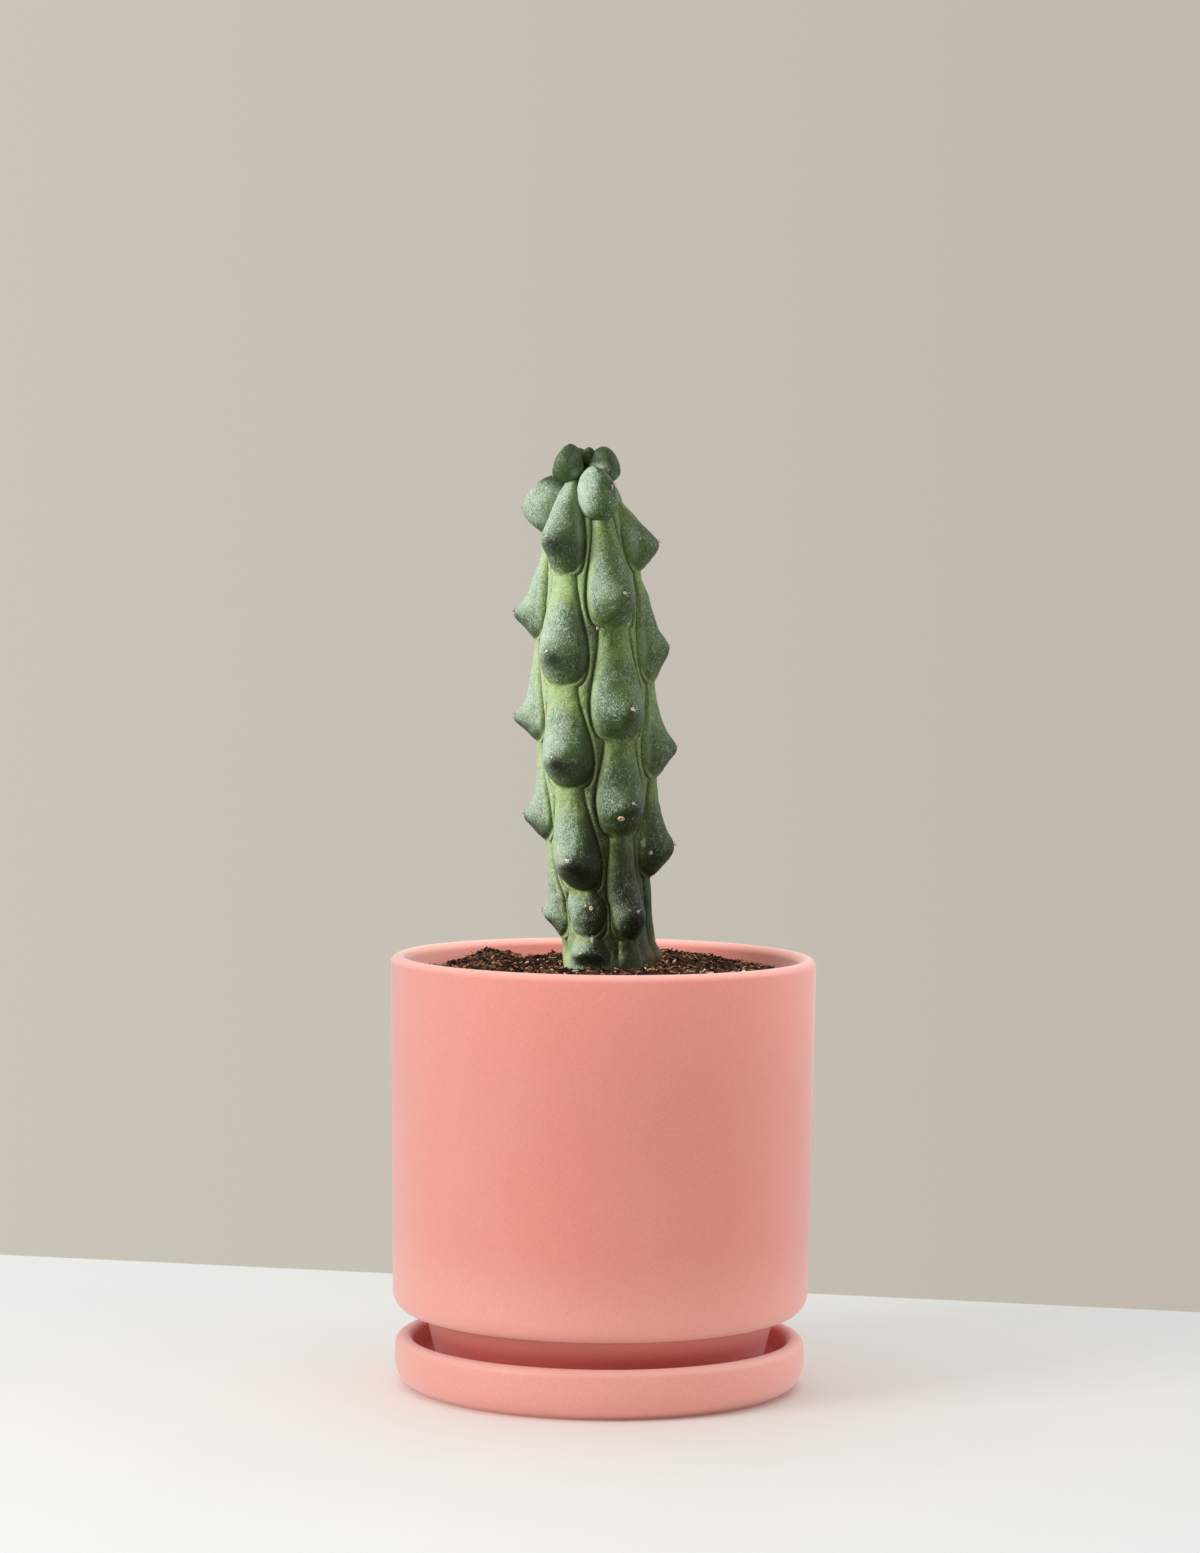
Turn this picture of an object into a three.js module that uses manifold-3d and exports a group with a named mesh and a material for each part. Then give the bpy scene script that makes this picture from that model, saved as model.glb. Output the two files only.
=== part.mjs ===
// A potted boobie cactus: a ribbed, knobbly cactus in potting soil, in a ceramic cylinder pot
// that stands in its saucer. Millimetres, +Z up. The origin is the centre of the saucer's base,
// and the front is towards -Y.
import * as THREE from "three";
import { mergeVertices } from "three/addons/utils/BufferGeometryUtils.js";
import Module from "manifold-3d";

const wasm = await Module();
wasm.setup();

// Clearance and fineness
const FIT_GAP = 0.35;
const ROUND_SIDES = 48;
const SLIVER = 0.03;

// Saucer
const SAUCER_RADIUS = 62.8;
const SAUCER_BASE_RADIUS = 57.6;
const SAUCER_HEIGHT = 15.3;
const SAUCER_RIM_THICKNESS = 5.2;
const SAUCER_FLOOR = 6.5;
const SAUCER_INNER_FILLET = 2.8;

// Pot
const POT_RADIUS = 65;
const POT_TOP = 131.8;
const POT_WALL = 5;
const POT_TAPER = 1.5;
const SKIRT_BOTTOM = 22.9;
const SKIRT_CORNER = 6.2;
const FOOT_TOP_RADIUS = 53.4;
const FOOT_BOTTOM_RADIUS = 49.6;
const FOOT_RING_WIDTH = 11;
const FOOT_RECESS = 2.2;
const POT_FLOOR_THICKNESS = 7.6;
const DRAIN_RADIUS = 6.5;

// Soil
const SOIL_EDGE = 125.2;
const SOIL_MOUND = 2.9;
const SOIL_HEAPS = [
  { x: 25, y: 38, width: 19, height: 2.6 },
  { x: -35, y: 41, width: 8, height: 2.6 },
];
const SOIL_LUMPS = 460;
const SOIL_LUMP_SIZE = 3.4;
const SOIL_LUMP_SLOPE = 0.42;
const SOIL_RINGS = 14;
const SOIL_SEED = 11;

// Stem: its line leans to the left as it rises, and its neck is the ridge between two knobs
const STEM_LINE = [[84, 1.7], [130, 1.7], [145, 0.2], [157, -1.4], [193, -2.6], [220, -3.9], [250, -4.9], [285, -7]];
const STEM_NECK = [
  [84.5, 1.2], [87, 5.2], [92, 8.6], [104, 11.6], [118, 13.3], [128, 13.9], [136, 14.2], [145, 14.5], [157, 15.5],
  [172, 17], [190, 18.2], [220, 18.3], [236, 16.9], [250, 14.9], [258, 13.6], [265, 12.1], [271, 9.8], [276.5, 6.6],
];
const STEM_TOP = 280;
const STEM_BOTTOM = 84.2;
const SOIL_LINE = 128.4;
const RIBS_FULL = 134.2;
const ROOT_ROWS = 4;
const STEM_ROWS = 57;

// Valleys between the ribs and the sway of the creases along them, as angles in radians
const VALLEY_WIDTH = 0.2;
const VALLEY_LEAST = 0.088;
const CREASE_WEAVE = 0.112;

// Knobs of each rib, from the top down: height, reach of the tip from the stem's line, the tip's
// bearing round the stem in degrees from the front towards +X, how far the knob goes down below
// its tip, and the share of its rise that is in the nipple
const RIBS = [
  [
    [258.7, 20.9, -40, 10.8, 0.5],
    [224.1, 23.6, -37, 9.6, 0.5],
    [192.2, 24.6, -34, 8.4, 0.5],
    [161.1, 23, -25, 8.4, 0.5],
    [147.2, 16.4, -20, 8.9, 0.1],
    [132.7, 16.7, -31, 9, 0.5],
  ],
  [[241.8, 22.7, 26, 9.6, 0.5], [207, 24.7, 27, 8.6, 0.5], [178.7, 23.7, 27, 9.4, 0.5], [145.6, 18.9, 33, 7.9, 0.4]],
  [[257.3, 21, 82, 8, 0.3], [226, 23.3, 82, 10.4, 0.5], [195.6, 24.4, 82, 9, 0.5], [165.4, 23.2, 83, 9.4, 0.35]],
  [[241, 23, 142, 10, 0.5], [207.5, 24.8, 143, 9, 0.45], [177, 23.2, 141, 10, 0.5], [147, 18.4, 144, 9, 0.4]],
  [
    [256.5, 21, 201, 9, 0.4],
    [226.5, 23.6, 202, 10, 0.5],
    [195, 24.6, 203, 9, 0.5],
    [164.5, 23, 200, 10, 0.45],
    [146, 17.2, 203, 9, 0.3],
  ],
  [[235.8, 24.1, 262, 7.8, 0.5], [204, 25.3, 262, 7, 0.6], [174.2, 22.7, 263, 7.4, 0.5], [144.4, 19.2, 264, 7.4, 0.7]],
];
// How far the top knob of each rib goes up above its tip
const TOP_ABOVE = [28, 24, 14, 20, 16, 26];
const NIPPLE_ABOVE = 4.2;
const NIPPLE_BELOW = 0.44;
const NIPPLE_ACROSS = 3.9;
const NECK_CREST = 1.4;
const CREST_POWER = 2.4;
const CREST_ROUNDING = 0.8;
const CREASE_DEPTH = 0.6;
const FLARE = { bearing: 84, height: 130, reach: 4.4, sideways: 0.5, upright: 4 };
const ACROSS_RIB = [-1, -0.62, -0.26, 0, 0.26, 0.62, 1];

// Young knobs of the crown: bearing, distance from the stem's line, height of the middle, half
// sizes across, upright and outward, the tilt back and the lean to the side, the way the tip
// points (across, upright, outward) and how far, and flats pressed on: a facing and a distance
const CROWN = [
  {
    bearing: 17, out: 8.8, height: 272.2, half: [6.1, 8.9, 7.2], tilt: 14, lean: 13,
    tip: [0.62, 0.34, 0.7], point: 0.1, flats: [],
  },
  {
    bearing: 262, out: 10, height: 268.4, half: [6.6, 9.9, 10.1], tilt: 0, lean: 0,
    tip: [0, 0, 1], point: 0.02, flats: [[0, -0.76, 0.65, 8.6]],
  },
  {
    bearing: 150, out: 9, height: 269.6, half: [5.8, 7.6, 6.4], tilt: 4, lean: 0,
    tip: [0, 0, 1], point: 0.12, flats: [],
  },
  {
    bearing: -46, out: 7.4, height: 281.7, half: [4.4, 6.2, 4.7], tilt: 0, lean: -4,
    tip: [-0.4, -0.55, 0.73], point: 0.14, flats: [[0, -1, 0, 5.7], [-0.8, 0.6, 0.3, 4.2]],
  },
  {
    bearing: 66, out: 5.9, height: 281.4, half: [4.9, 5.7, 5], tilt: 0, lean: 0,
    tip: [-0.8, -0.3, 0.6], point: 0.04, flats: [[0.1, 0.45, 0.9, 4.3]],
  },
  {
    bearing: 204, out: 6.4, height: 281.2, half: [4.4, 5.6, 4.8], tilt: 12, lean: 0,
    tip: [0, 0, 1], point: 0.12, flats: [],
  },
  {
    bearing: 15, out: 2.4, height: 283.6, half: [2.4, 3.3, 2.2], tilt: 30, lean: 0,
    tip: [0, 0, 1], point: 0, flats: [],
  },
  {
    bearing: 255, out: 2.2, height: 284.4, half: [1.9, 2.8, 1.8], tilt: 40, lean: 0,
    tip: [0, 0, 1], point: 0, flats: [],
  },
];
const YOUNG_TAPER = 0.16;
const FLAT_SOFTNESS = 0.9;
const CROWN_SIDES = 12;
const CROWN_RINGS = 9;

// Spines: a small star of short needles on each knob's tip
const SPINES_IN_TUFT = 3;
const SPINE_LENGTH = 1.6;
const SPINE_ROOT = 1;
const SPINE_RADIUS = 0.28;
const SPINE_APART = 0.5;
const SPINE_SPREAD = 58;
const SPINE_LIFT = 0.12;
const SPINE_SEED = 5;

const radians = THREE.MathUtils.degToRad;
const smoothstep = THREE.MathUtils.smoothstep;

function seededRandom(seed) {
  let state = seed;
  return () => {
    state = (state * 1664525 + 1013904223) % 4294967296;
    return state / 4294967296;
  };
}

function arc(centreR, centreZ, radius, from, to, steps) {
  const points = [];
  for (let i = 0; i <= steps; i += 1) {
    const angle = radians(from + ((to - from) * i) / steps);
    points.push(new THREE.Vector2(centreR + radius * Math.cos(angle), centreZ + radius * Math.sin(angle)));
  }
  return points;
}

const at = (r, z) => new THREE.Vector2(r, z);

function turned(profile, sides = ROUND_SIDES) {
  return new THREE.LatheGeometry(profile, sides).rotateX(Math.PI / 2);
}

// Catmull-Rom value of a list of [place, value] pairs that is sorted by place
function alongList(list, place) {
  const last = list.length - 1;
  if (place <= list[0][0]) return list[0][1];
  if (place >= list[last][0]) return list[last][1];
  let i = 0;
  while (list[i + 1][0] < place) i += 1;
  const slope = (j) => {
    const before = list[Math.max(0, j - 1)];
    const after = list[Math.min(last, j + 1)];
    return (after[1] - before[1]) / (after[0] - before[0]);
  };
  const span = list[i + 1][0] - list[i][0];
  const t = (place - list[i][0]) / span;
  const t2 = t * t;
  const t3 = t2 * t;
  return (
    (2 * t3 - 3 * t2 + 1) * list[i][1] +
    (t3 - 2 * t2 + t) * span * slope(i) +
    (3 * t2 - 2 * t3) * list[i + 1][1] +
    (t3 - t2) * span * slope(i + 1)
  );
}

function toSolid(geometry) {
  geometry.deleteAttribute("normal");
  geometry.deleteAttribute("uv");
  const merged = mergeVertices(geometry, 1e-4);
  return new wasm.Manifold(
    new wasm.Mesh({
      numProp: 3,
      vertProperties: new Float32Array(merged.attributes.position.array),
      triVerts: new Uint32Array(merged.index.array),
    })
  );
}

// The joined solid without sealed hollows and without the slivers that a join leaves
function outerShell(solid) {
  const outer = solid.decompose().reduce((largest, shell) => (shell.volume() > largest.volume() ? shell : largest));
  return outer.asOriginal().simplify(SLIVER);
}

function toGeometry(solid) {
  const mesh = solid.getMesh();
  const geometry = new THREE.BufferGeometry();
  geometry.setAttribute("position", new THREE.BufferAttribute(new Float32Array(mesh.vertProperties), 3));
  geometry.setIndex(new THREE.BufferAttribute(new Uint32Array(mesh.triVerts), 1));
  geometry.computeVertexNormals();
  return geometry;
}

function piece(name, geometry, color, roughness) {
  const mesh = new THREE.Mesh(geometry, new THREE.MeshStandardMaterial({ color, roughness, metalness: 0 }));
  mesh.name = name;
  return mesh;
}

// Saucer

function saucerProfile() {
  const rimHalf = SAUCER_RIM_THICKNESS / 2;
  const rimCentreR = SAUCER_RADIUS - 0.4 - rimHalf;
  const rimCentreZ = SAUCER_HEIGHT - rimHalf;
  const innerWall = rimCentreR - rimHalf;
  return [
    at(0, 0),
    at(SAUCER_BASE_RADIUS, 0),
    at(SAUCER_BASE_RADIUS + 0.7, 0.9),
    ...new THREE.CubicBezierCurve(
      at(SAUCER_BASE_RADIUS + 1.6, 1.3),
      at(SAUCER_RADIUS - 1.2, 3),
      at(SAUCER_RADIUS + 0.1, 6),
      at(SAUCER_RADIUS, 9)
    ).getPoints(4),
    ...arc(rimCentreR, rimCentreZ, rimHalf, 0, 180, 6),
    ...arc(innerWall - SAUCER_INNER_FILLET, SAUCER_FLOOR + SAUCER_INNER_FILLET, SAUCER_INNER_FILLET, 0, -90, 3),
    at(0, SAUCER_FLOOR),
  ];
}

// Pot: the wall turns in at its lower corner to a narrower foot

const FOOT_BOTTOM = SAUCER_FLOOR + FIT_GAP;
const POT_FLOOR = FOOT_BOTTOM + POT_FLOOR_THICKNESS;
const LIP_HALF = POT_WALL / 2;
const SKIRT_RADIUS = POT_RADIUS - POT_TAPER;

function potOutside() {
  return [
    at(DRAIN_RADIUS, FOOT_BOTTOM + FOOT_RECESS),
    at(FOOT_BOTTOM_RADIUS - 1 - FOOT_RING_WIDTH - FOOT_RECESS, FOOT_BOTTOM + FOOT_RECESS),
    at(FOOT_BOTTOM_RADIUS - 1 - FOOT_RING_WIDTH, FOOT_BOTTOM),
    ...arc(FOOT_BOTTOM_RADIUS - 1, FOOT_BOTTOM + 1, 1, -90, 0, 1),
    ...new THREE.QuadraticBezierCurve(
      at(FOOT_TOP_RADIUS - 0.6, SKIRT_BOTTOM - 3.4),
      at(FOOT_TOP_RADIUS + 0.3, SKIRT_BOTTOM - 0.3),
      at(FOOT_TOP_RADIUS + 2.6, SKIRT_BOTTOM)
    ).getPoints(2),
    ...arc(SKIRT_RADIUS - SKIRT_CORNER, SKIRT_BOTTOM + SKIRT_CORNER, SKIRT_CORNER, -90, 0, 5),
    ...arc(POT_RADIUS - LIP_HALF, POT_TOP - LIP_HALF, LIP_HALF, 0, 180, 6),
  ];
}

// Cavity from its floor up to just under the lip
function potCavity() {
  const wellRadius = FOOT_TOP_RADIUS - POT_WALL;
  const stepRadius = SKIRT_RADIUS - POT_WALL;
  const stepFloor = SKIRT_BOTTOM + POT_WALL + 1.4;
  return [
    at(DRAIN_RADIUS, POT_FLOOR),
    ...arc(wellRadius - 4.4, POT_FLOOR + 3, 3, -90, 0, 2),
    ...arc(wellRadius + 2, stepFloor - 2, 2, 180, 90, 1),
    ...arc(stepRadius - 3, stepFloor + 3, 3, -90, 0, 2),
  ];
}

function potProfile() {
  const outside = potOutside();
  return [...outside, ...potCavity().reverse(), outside[0].clone()];
}

// Soil: the cavity's shape, a fitting gap smaller, with a lumpy, gently mounded top

function soilProfile() {
  const fill = potCavity().map((point) => at(point.x - FIT_GAP, point.y + FIT_GAP));
  const edge = POT_RADIUS - POT_WALL - FIT_GAP - 0.15;
  const top = [];
  for (let i = 0; i <= SOIL_RINGS; i += 1) {
    top.push(at(edge * (1 - i / SOIL_RINGS), SOIL_EDGE));
  }
  return [at(0, POT_FLOOR + FIT_GAP), ...fill.slice(1), ...top];
}

// The two heaps behind the stem, and many small lumps and hollows
function soilLumps() {
  const random = seededRandom(SOIL_SEED);
  const lumps = [...SOIL_HEAPS];
  for (let i = 0; i < SOIL_LUMPS; i += 1) {
    const bearing = random() * Math.PI * 2;
    const out = POT_RADIUS * Math.sqrt(random());
    const width = SOIL_LUMP_SIZE * (0.5 + random());
    const height = width * SOIL_LUMP_SLOPE * (1.7 * random() - 0.75);
    lumps.push({ x: out * Math.cos(bearing), y: out * Math.sin(bearing), width, height });
  }
  return lumps;
}

function soilHeight(lumps, x, y, stemX) {
  const out = Math.hypot(x, y) / POT_RADIUS;
  let height = SOIL_EDGE + SOIL_MOUND * (1 - out * out);
  for (const lump of lumps) {
    height += lump.height * Math.exp(-((x - lump.x) ** 2 + (y - lump.y) ** 2) / lump.width ** 2);
  }
  const nearStem = 1 - smoothstep(Math.hypot(x - stemX, y), 16, 24);
  return Math.min(height, height + (SOIL_LINE - 0.3 - height) * nearStem);
}

function soilSolid() {
  const geometry = turned(soilProfile());
  const position = geometry.attributes.position;
  const lumps = soilLumps();
  const stemX = alongList(STEM_LINE, SOIL_LINE);
  for (let i = 0; i < position.count; i += 1) {
    if (position.getZ(i) > SOIL_EDGE - 0.1) {
      position.setZ(i, soilHeight(lumps, position.getX(i), position.getY(i), stemX));
    }
  }
  return outerShell(toSolid(geometry).subtract(toSolid(stemHole(stemX))));
}

// A plain round hole that takes the buried end of the stem
function stemHole(stemX) {
  const wall = STEM_NECK.filter(([height]) => height < SOIL_LINE).map(([height, radius]) => at(radius + FIT_GAP, height));
  const mouth = wall[wall.length - 1].x;
  const bottom = STEM_BOTTOM - FIT_GAP;
  return turned([at(0, bottom), ...wall, at(mouth, SOIL_LINE + 20), at(0, SOIL_LINE + 20)]).translate(stemX, 0, 0);
}

// Cactus

// The knob whose stretch of the rib holds this height, and how far up and down its stretch goes
function knobAt(rib, height) {
  const knobs = RIBS[rib];
  let k = 0;
  while (k < knobs.length - 1 && height < knobs[k][0] - knobs[k][3]) k += 1;
  const [tip, reach, , below, pointed] = knobs[k];
  const above = k > 0 ? knobs[k - 1][0] - knobs[k - 1][3] - tip : TOP_ABOVE[rib];
  return { tip, reach, above, below, pointed };
}

// 1 at a knob's tip height, falling slowly to 0 above it and in a quarter round below it
function swell(knob, height) {
  const rise = height - knob.tip;
  if (rise > 0) return 1 - smoothstep(rise / knob.above, 0, 1);
  return Math.sqrt(Math.max(0, 1 - (rise / knob.below) ** 2));
}

const rounded = (share) => Math.max(0, 1 - Math.abs(share) ** CREST_POWER) ** CREST_ROUNDING;

const ribBearing = (knobs, height) => alongList([...knobs].reverse().map(([z, , bearing]) => [z, bearing]), height);

// Angle between a rib's middle and the crease on its left (-1) or right (+1) side
function halfWidth(rib, side, height) {
  const other = (rib + side + RIBS.length) % RIBS.length;
  const turn = other - rib === side ? 0 : side * 360;
  const between = Math.abs(ribBearing(RIBS[other], height) + turn - ribBearing(RIBS[rib], height));
  const own = swell(knobAt(rib, height), height);
  const theirs = swell(knobAt(other, height), height);
  const gap = VALLEY_WIDTH - 2 * CREASE_WEAVE * (own + theirs - 1);
  const short = Math.max(0, VALLEY_LEAST - gap) / 2;
  return (radians(between) - VALLEY_WIDTH) / 2 + CREASE_WEAVE * (2 * own - 1) - short;
}

// Height of a rib's surface over the valley, at a distance sideways from its middle: each knob is
// a drop-shaped dome, long above its tip and round below it, with a nipple
function ribRelief(knob, height, across, sideways, tipHalf, neck) {
  const rise = height - knob.tip;
  const fall = rise / (rise > 0 ? NIPPLE_ABOVE : NIPPLE_BELOW * knob.below);
  const nipple = Math.exp(-fall * fall - (sideways / NIPPLE_ACROSS) ** 2);
  const under = Math.min(1, Math.hypot(sideways / tipHalf, rise / knob.below));
  const dome = rise > 0 ? swell(knob, height) * rounded(across) : rounded(under);
  return NECK_CREST * rounded(across) + (knob.reach - neck) * (knob.pointed * nipple + (1 - knob.pointed) * dome);
}

// The corky swelling at the stem's foot
function rootFlare(bearing, height) {
  const beside = THREE.MathUtils.euclideanModulo(bearing - radians(FLARE.bearing) + Math.PI, Math.PI * 2) - Math.PI;
  return FLARE.reach * Math.exp(-((beside / FLARE.sideways) ** 2) - ((height - FLARE.height) / FLARE.upright) ** 2);
}

// One closed level ring of the stem, as bearings and radii
function stemRing(height) {
  const neck = alongList(STEM_NECK, height);
  const ribbed = smoothstep(height, SOIL_LINE, RIBS_FULL);
  const valley = neck - NECK_CREST * ribbed;
  const ring = [];
  for (let rib = 0; rib < RIBS.length; rib += 1) {
    const knob = knobAt(rib, height);
    const middle = radians(ribBearing(RIBS[rib], height));
    const sides = [-1, 1].map((side) => halfWidth(rib, side, height));
    const tipSides = [-1, 1].map((side) => halfWidth(rib, side, knob.tip) * valley);
    for (const across of ACROSS_RIB) {
      const side = across < 0 ? 0 : 1;
      const sideways = across * sides[side] * valley;
      const relief = ribRelief(knob, height, across, sideways, tipSides[side], neck);
      const groove = Math.abs(across) === 1 ? CREASE_DEPTH : 0;
      const bearing = middle + across * sides[side];
      ring.push({ bearing, radius: valley + ribbed * (relief - groove + rootFlare(bearing, height)) });
    }
    const next = (rib + 1) % RIBS.length;
    const turn = next === 0 ? Math.PI * 2 : 0;
    const nextCrease = radians(ribBearing(RIBS[next], height)) + turn - halfWidth(next, -1, height);
    const bearing = (middle + sides[1] + nextCrease) / 2;
    ring.push({ bearing, radius: valley + ribbed * rootFlare(bearing, height) });
  }
  return ring;
}

function stemPoint(bearing, radius, height) {
  return new THREE.Vector3(
    alongList(STEM_LINE, height) + radius * Math.sin(bearing),
    -radius * Math.cos(bearing),
    height
  );
}

function stemHeights() {
  const heights = [];
  for (let i = 0; i < ROOT_ROWS; i += 1) {
    heights.push(THREE.MathUtils.lerp(STEM_NECK[0][0], SOIL_LINE, i / ROOT_ROWS));
  }
  for (let i = 0; i <= STEM_ROWS; i += 1) {
    heights.push(THREE.MathUtils.lerp(SOIL_LINE, STEM_NECK[STEM_NECK.length - 1][0], i / STEM_ROWS));
  }
  return heights;
}

function stemGeometry() {
  const rows = stemHeights();
  const columns = RIBS.length * (ACROSS_RIB.length + 1);
  const vertices = [];
  const faces = [];
  for (const height of rows) {
    for (const { bearing, radius } of stemRing(height)) {
      vertices.push(...stemPoint(bearing, radius, height).toArray());
    }
  }
  for (let row = 0; row < rows.length - 1; row += 1) {
    for (let column = 0; column < columns; column += 1) {
      const next = (column + 1) % columns;
      const a = row * columns + column;
      const b = row * columns + next;
      faces.push(a, b, b + columns, a, b + columns, a + columns);
    }
  }
  const bottom = vertices.length / 3;
  vertices.push(...stemPoint(0, 0, STEM_BOTTOM).toArray(), ...stemPoint(0, 0, STEM_TOP).toArray());
  const lastRow = (rows.length - 1) * columns;
  for (let column = 0; column < columns; column += 1) {
    const next = (column + 1) % columns;
    faces.push(bottom, next, column, bottom + 1, lastRow + column, lastRow + next);
  }
  const geometry = new THREE.BufferGeometry();
  geometry.setAttribute("position", new THREE.Float32BufferAttribute(vertices, 3));
  geometry.setIndex(faces);
  return geometry;
}

// Axes of a young knob: across, upright and outward, tilted back and leant to its side
function crownFrame(young) {
  const bearing = radians(young.bearing);
  const outward = new THREE.Vector3(Math.sin(bearing), -Math.cos(bearing), 0);
  const across = new THREE.Vector3(Math.cos(bearing), Math.sin(bearing), 0);
  outward.applyAxisAngle(across, radians(young.tilt));
  const upright = new THREE.Vector3().crossVectors(across, outward).negate();
  across.applyAxisAngle(outward, radians(young.lean));
  upright.applyAxisAngle(outward, radians(young.lean));
  return { across, upright, outward };
}

// Place of a young knob's skin that faces one way, given as (across, upright, outward)
function youngPlace(young, facing) {
  const tip = new THREE.Vector3(...young.tip).normalize();
  const narrow = 1 - YOUNG_TAPER * facing.y;
  const local = new THREE.Vector3(...young.half).multiply(facing).multiply(new THREE.Vector3(narrow, 1, narrow));
  local.multiplyScalar(1 + young.point * Math.max(0, facing.dot(tip)) ** 6);
  for (const [across, upright, outward, distance] of young.flats) {
    const way = new THREE.Vector3(across, upright, outward).normalize();
    const beyond = local.dot(way) - distance;
    local.addScaledVector(way, 0.1 - (beyond + Math.hypot(beyond, FLAT_SOFTNESS)) / 2);
  }
  const { across, upright, outward } = crownFrame(young);
  return stemPoint(radians(young.bearing), young.out, young.height)
    .addScaledVector(across, local.x)
    .addScaledVector(upright, local.y)
    .addScaledVector(outward, local.z);
}

function crownGeometry(young) {
  const geometry = new THREE.SphereGeometry(1, CROWN_SIDES, CROWN_RINGS);
  const position = geometry.attributes.position;
  const facing = new THREE.Vector3();
  for (let i = 0; i < position.count; i += 1) {
    const placed = youngPlace(young, facing.fromBufferAttribute(position, i));
    position.setXYZ(i, placed.x, placed.y, placed.z);
  }
  return geometry;
}

// Tips that carry spines, each with the direction in which its knob points
function spineTips() {
  const tips = [];
  for (const knobs of RIBS) {
    for (const [height, reach, bearing] of knobs) {
      const turn = radians(bearing);
      const way = new THREE.Vector3(Math.sin(turn), -Math.cos(turn), SPINE_LIFT);
      tips.push({ place: stemPoint(turn, reach, height), way });
    }
  }
  for (const young of CROWN.filter(({ point }) => point > 0)) {
    const place = youngPlace(young, new THREE.Vector3(...young.tip).normalize());
    const centre = stemPoint(radians(young.bearing), young.out, young.height);
    tips.push({ place, way: place.clone().sub(centre).normalize() });
  }
  return tips;
}

function tuftOfSpines({ place, way }, random) {
  const tuft = [];
  const out = way.clone().normalize();
  const side = new THREE.Vector3(0, 0, 1).cross(out).normalize();
  const start = random() * Math.PI * 2;
  for (let i = 0; i < SPINES_IN_TUFT; i += 1) {
    const round = start + ((i + 0.4 * random()) * Math.PI * 2) / SPINES_IN_TUFT;
    const lean = side.clone().applyAxisAngle(out, round);
    const needle = out.clone().applyAxisAngle(lean, radians(SPINE_SPREAD * (0.7 + 0.4 * random())));
    const length = SPINE_LENGTH * (0.75 + 0.4 * random()) + SPINE_ROOT;
    const cone = new THREE.ConeGeometry(SPINE_RADIUS, length, 3).translate(0, length / 2 - SPINE_ROOT, 0);
    cone.applyQuaternion(new THREE.Quaternion().setFromUnitVectors(new THREE.Vector3(0, 1, 0), needle));
    const apart = new THREE.Vector3().crossVectors(lean, out).multiplyScalar(SPINE_APART);
    const root = place.clone().addScaledVector(out, -0.15).add(apart);
    tuft.push(cone.translate(root.x, root.y, root.z));
  }
  return tuft;
}

function cactusGeometry() {
  const random = seededRandom(SPINE_SEED);
  let plant = toSolid(stemGeometry());
  for (const young of CROWN) {
    plant = plant.add(toSolid(crownGeometry(young)));
  }
  for (const tip of spineTips()) {
    for (const needle of tuftOfSpines(tip, random)) {
      plant = plant.add(toSolid(needle));
    }
  }
  return toGeometry(outerShell(plant));
}

const object = new THREE.Group();
object.add(piece("saucer", turned(saucerProfile()), 0xe39a8c, 0.6));
object.add(piece("pot", turned(potProfile()), 0xe39a8c, 0.6));
object.add(piece("soil", toGeometry(soilSolid()), 0x35241b, 0.95));
object.add(piece("cactus", cactusGeometry(), 0x5f8a4e, 0.6));

export default object;
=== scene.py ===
"""A potted boobie cactus: a coral pink saucer and cylinder pot, dark soil and a knobbly green plant.

Lists and constants are in millimetres and degrees, and settings and meshes in metres, unless a note says
otherwise. +Z is up, and the front is towards -Y.
"""

import math
import random
from collections import namedtuple

import bmesh
import bpy
import numpy as np
from mathutils import Matrix, Quaternion, Vector, noise


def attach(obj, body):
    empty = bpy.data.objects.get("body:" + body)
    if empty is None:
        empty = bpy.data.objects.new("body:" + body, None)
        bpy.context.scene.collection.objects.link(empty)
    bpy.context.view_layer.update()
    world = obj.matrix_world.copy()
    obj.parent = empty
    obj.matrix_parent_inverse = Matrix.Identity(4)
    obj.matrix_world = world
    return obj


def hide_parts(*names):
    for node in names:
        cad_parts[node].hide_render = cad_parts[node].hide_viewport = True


bl_info = {
    "name": "Potted boobie cactus",
    "version": (1, 0, 0),
    "blender": (4, 5, 0),
    "location": "3D View > Sidebar > Cactus",
    "description": "Makes a potted boobie cactus, its pot, saucer and soil, and a small studio round it",
    "category": "Object",
}

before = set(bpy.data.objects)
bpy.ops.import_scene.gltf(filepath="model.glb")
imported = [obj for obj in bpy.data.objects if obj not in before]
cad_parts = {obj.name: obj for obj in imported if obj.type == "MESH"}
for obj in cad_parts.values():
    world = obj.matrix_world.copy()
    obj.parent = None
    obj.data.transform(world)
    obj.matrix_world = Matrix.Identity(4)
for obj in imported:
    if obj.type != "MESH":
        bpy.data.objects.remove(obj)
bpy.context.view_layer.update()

MM = 0.001

# Ceramic
CERAMIC_SIDES = 180
LARGE_ROUNDING = 1.5
SHARP_ANGLE = 32
SAUCER_RIM = 15.3
SAUCER_FLOOR = 6.5
SAUCER_ROUNDING = 2.55
SAUCER_INSIDE = 53.5
POT_RADIUS = 65
POT_WALL = 5
POT_RIM = 131.8
POT_FLOOR = 14.45
LIP_ROUNDING = 2.45
SKIRT_BOTTOM = 22.9
SKIRT_ROUNDING = 6.1
SHELF_HEIGHT = 29.8
FOOT_BOTTOM = 6.85
RECESS_HEIGHT = 9.05
DRAIN_RADIUS = 6.5

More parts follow.
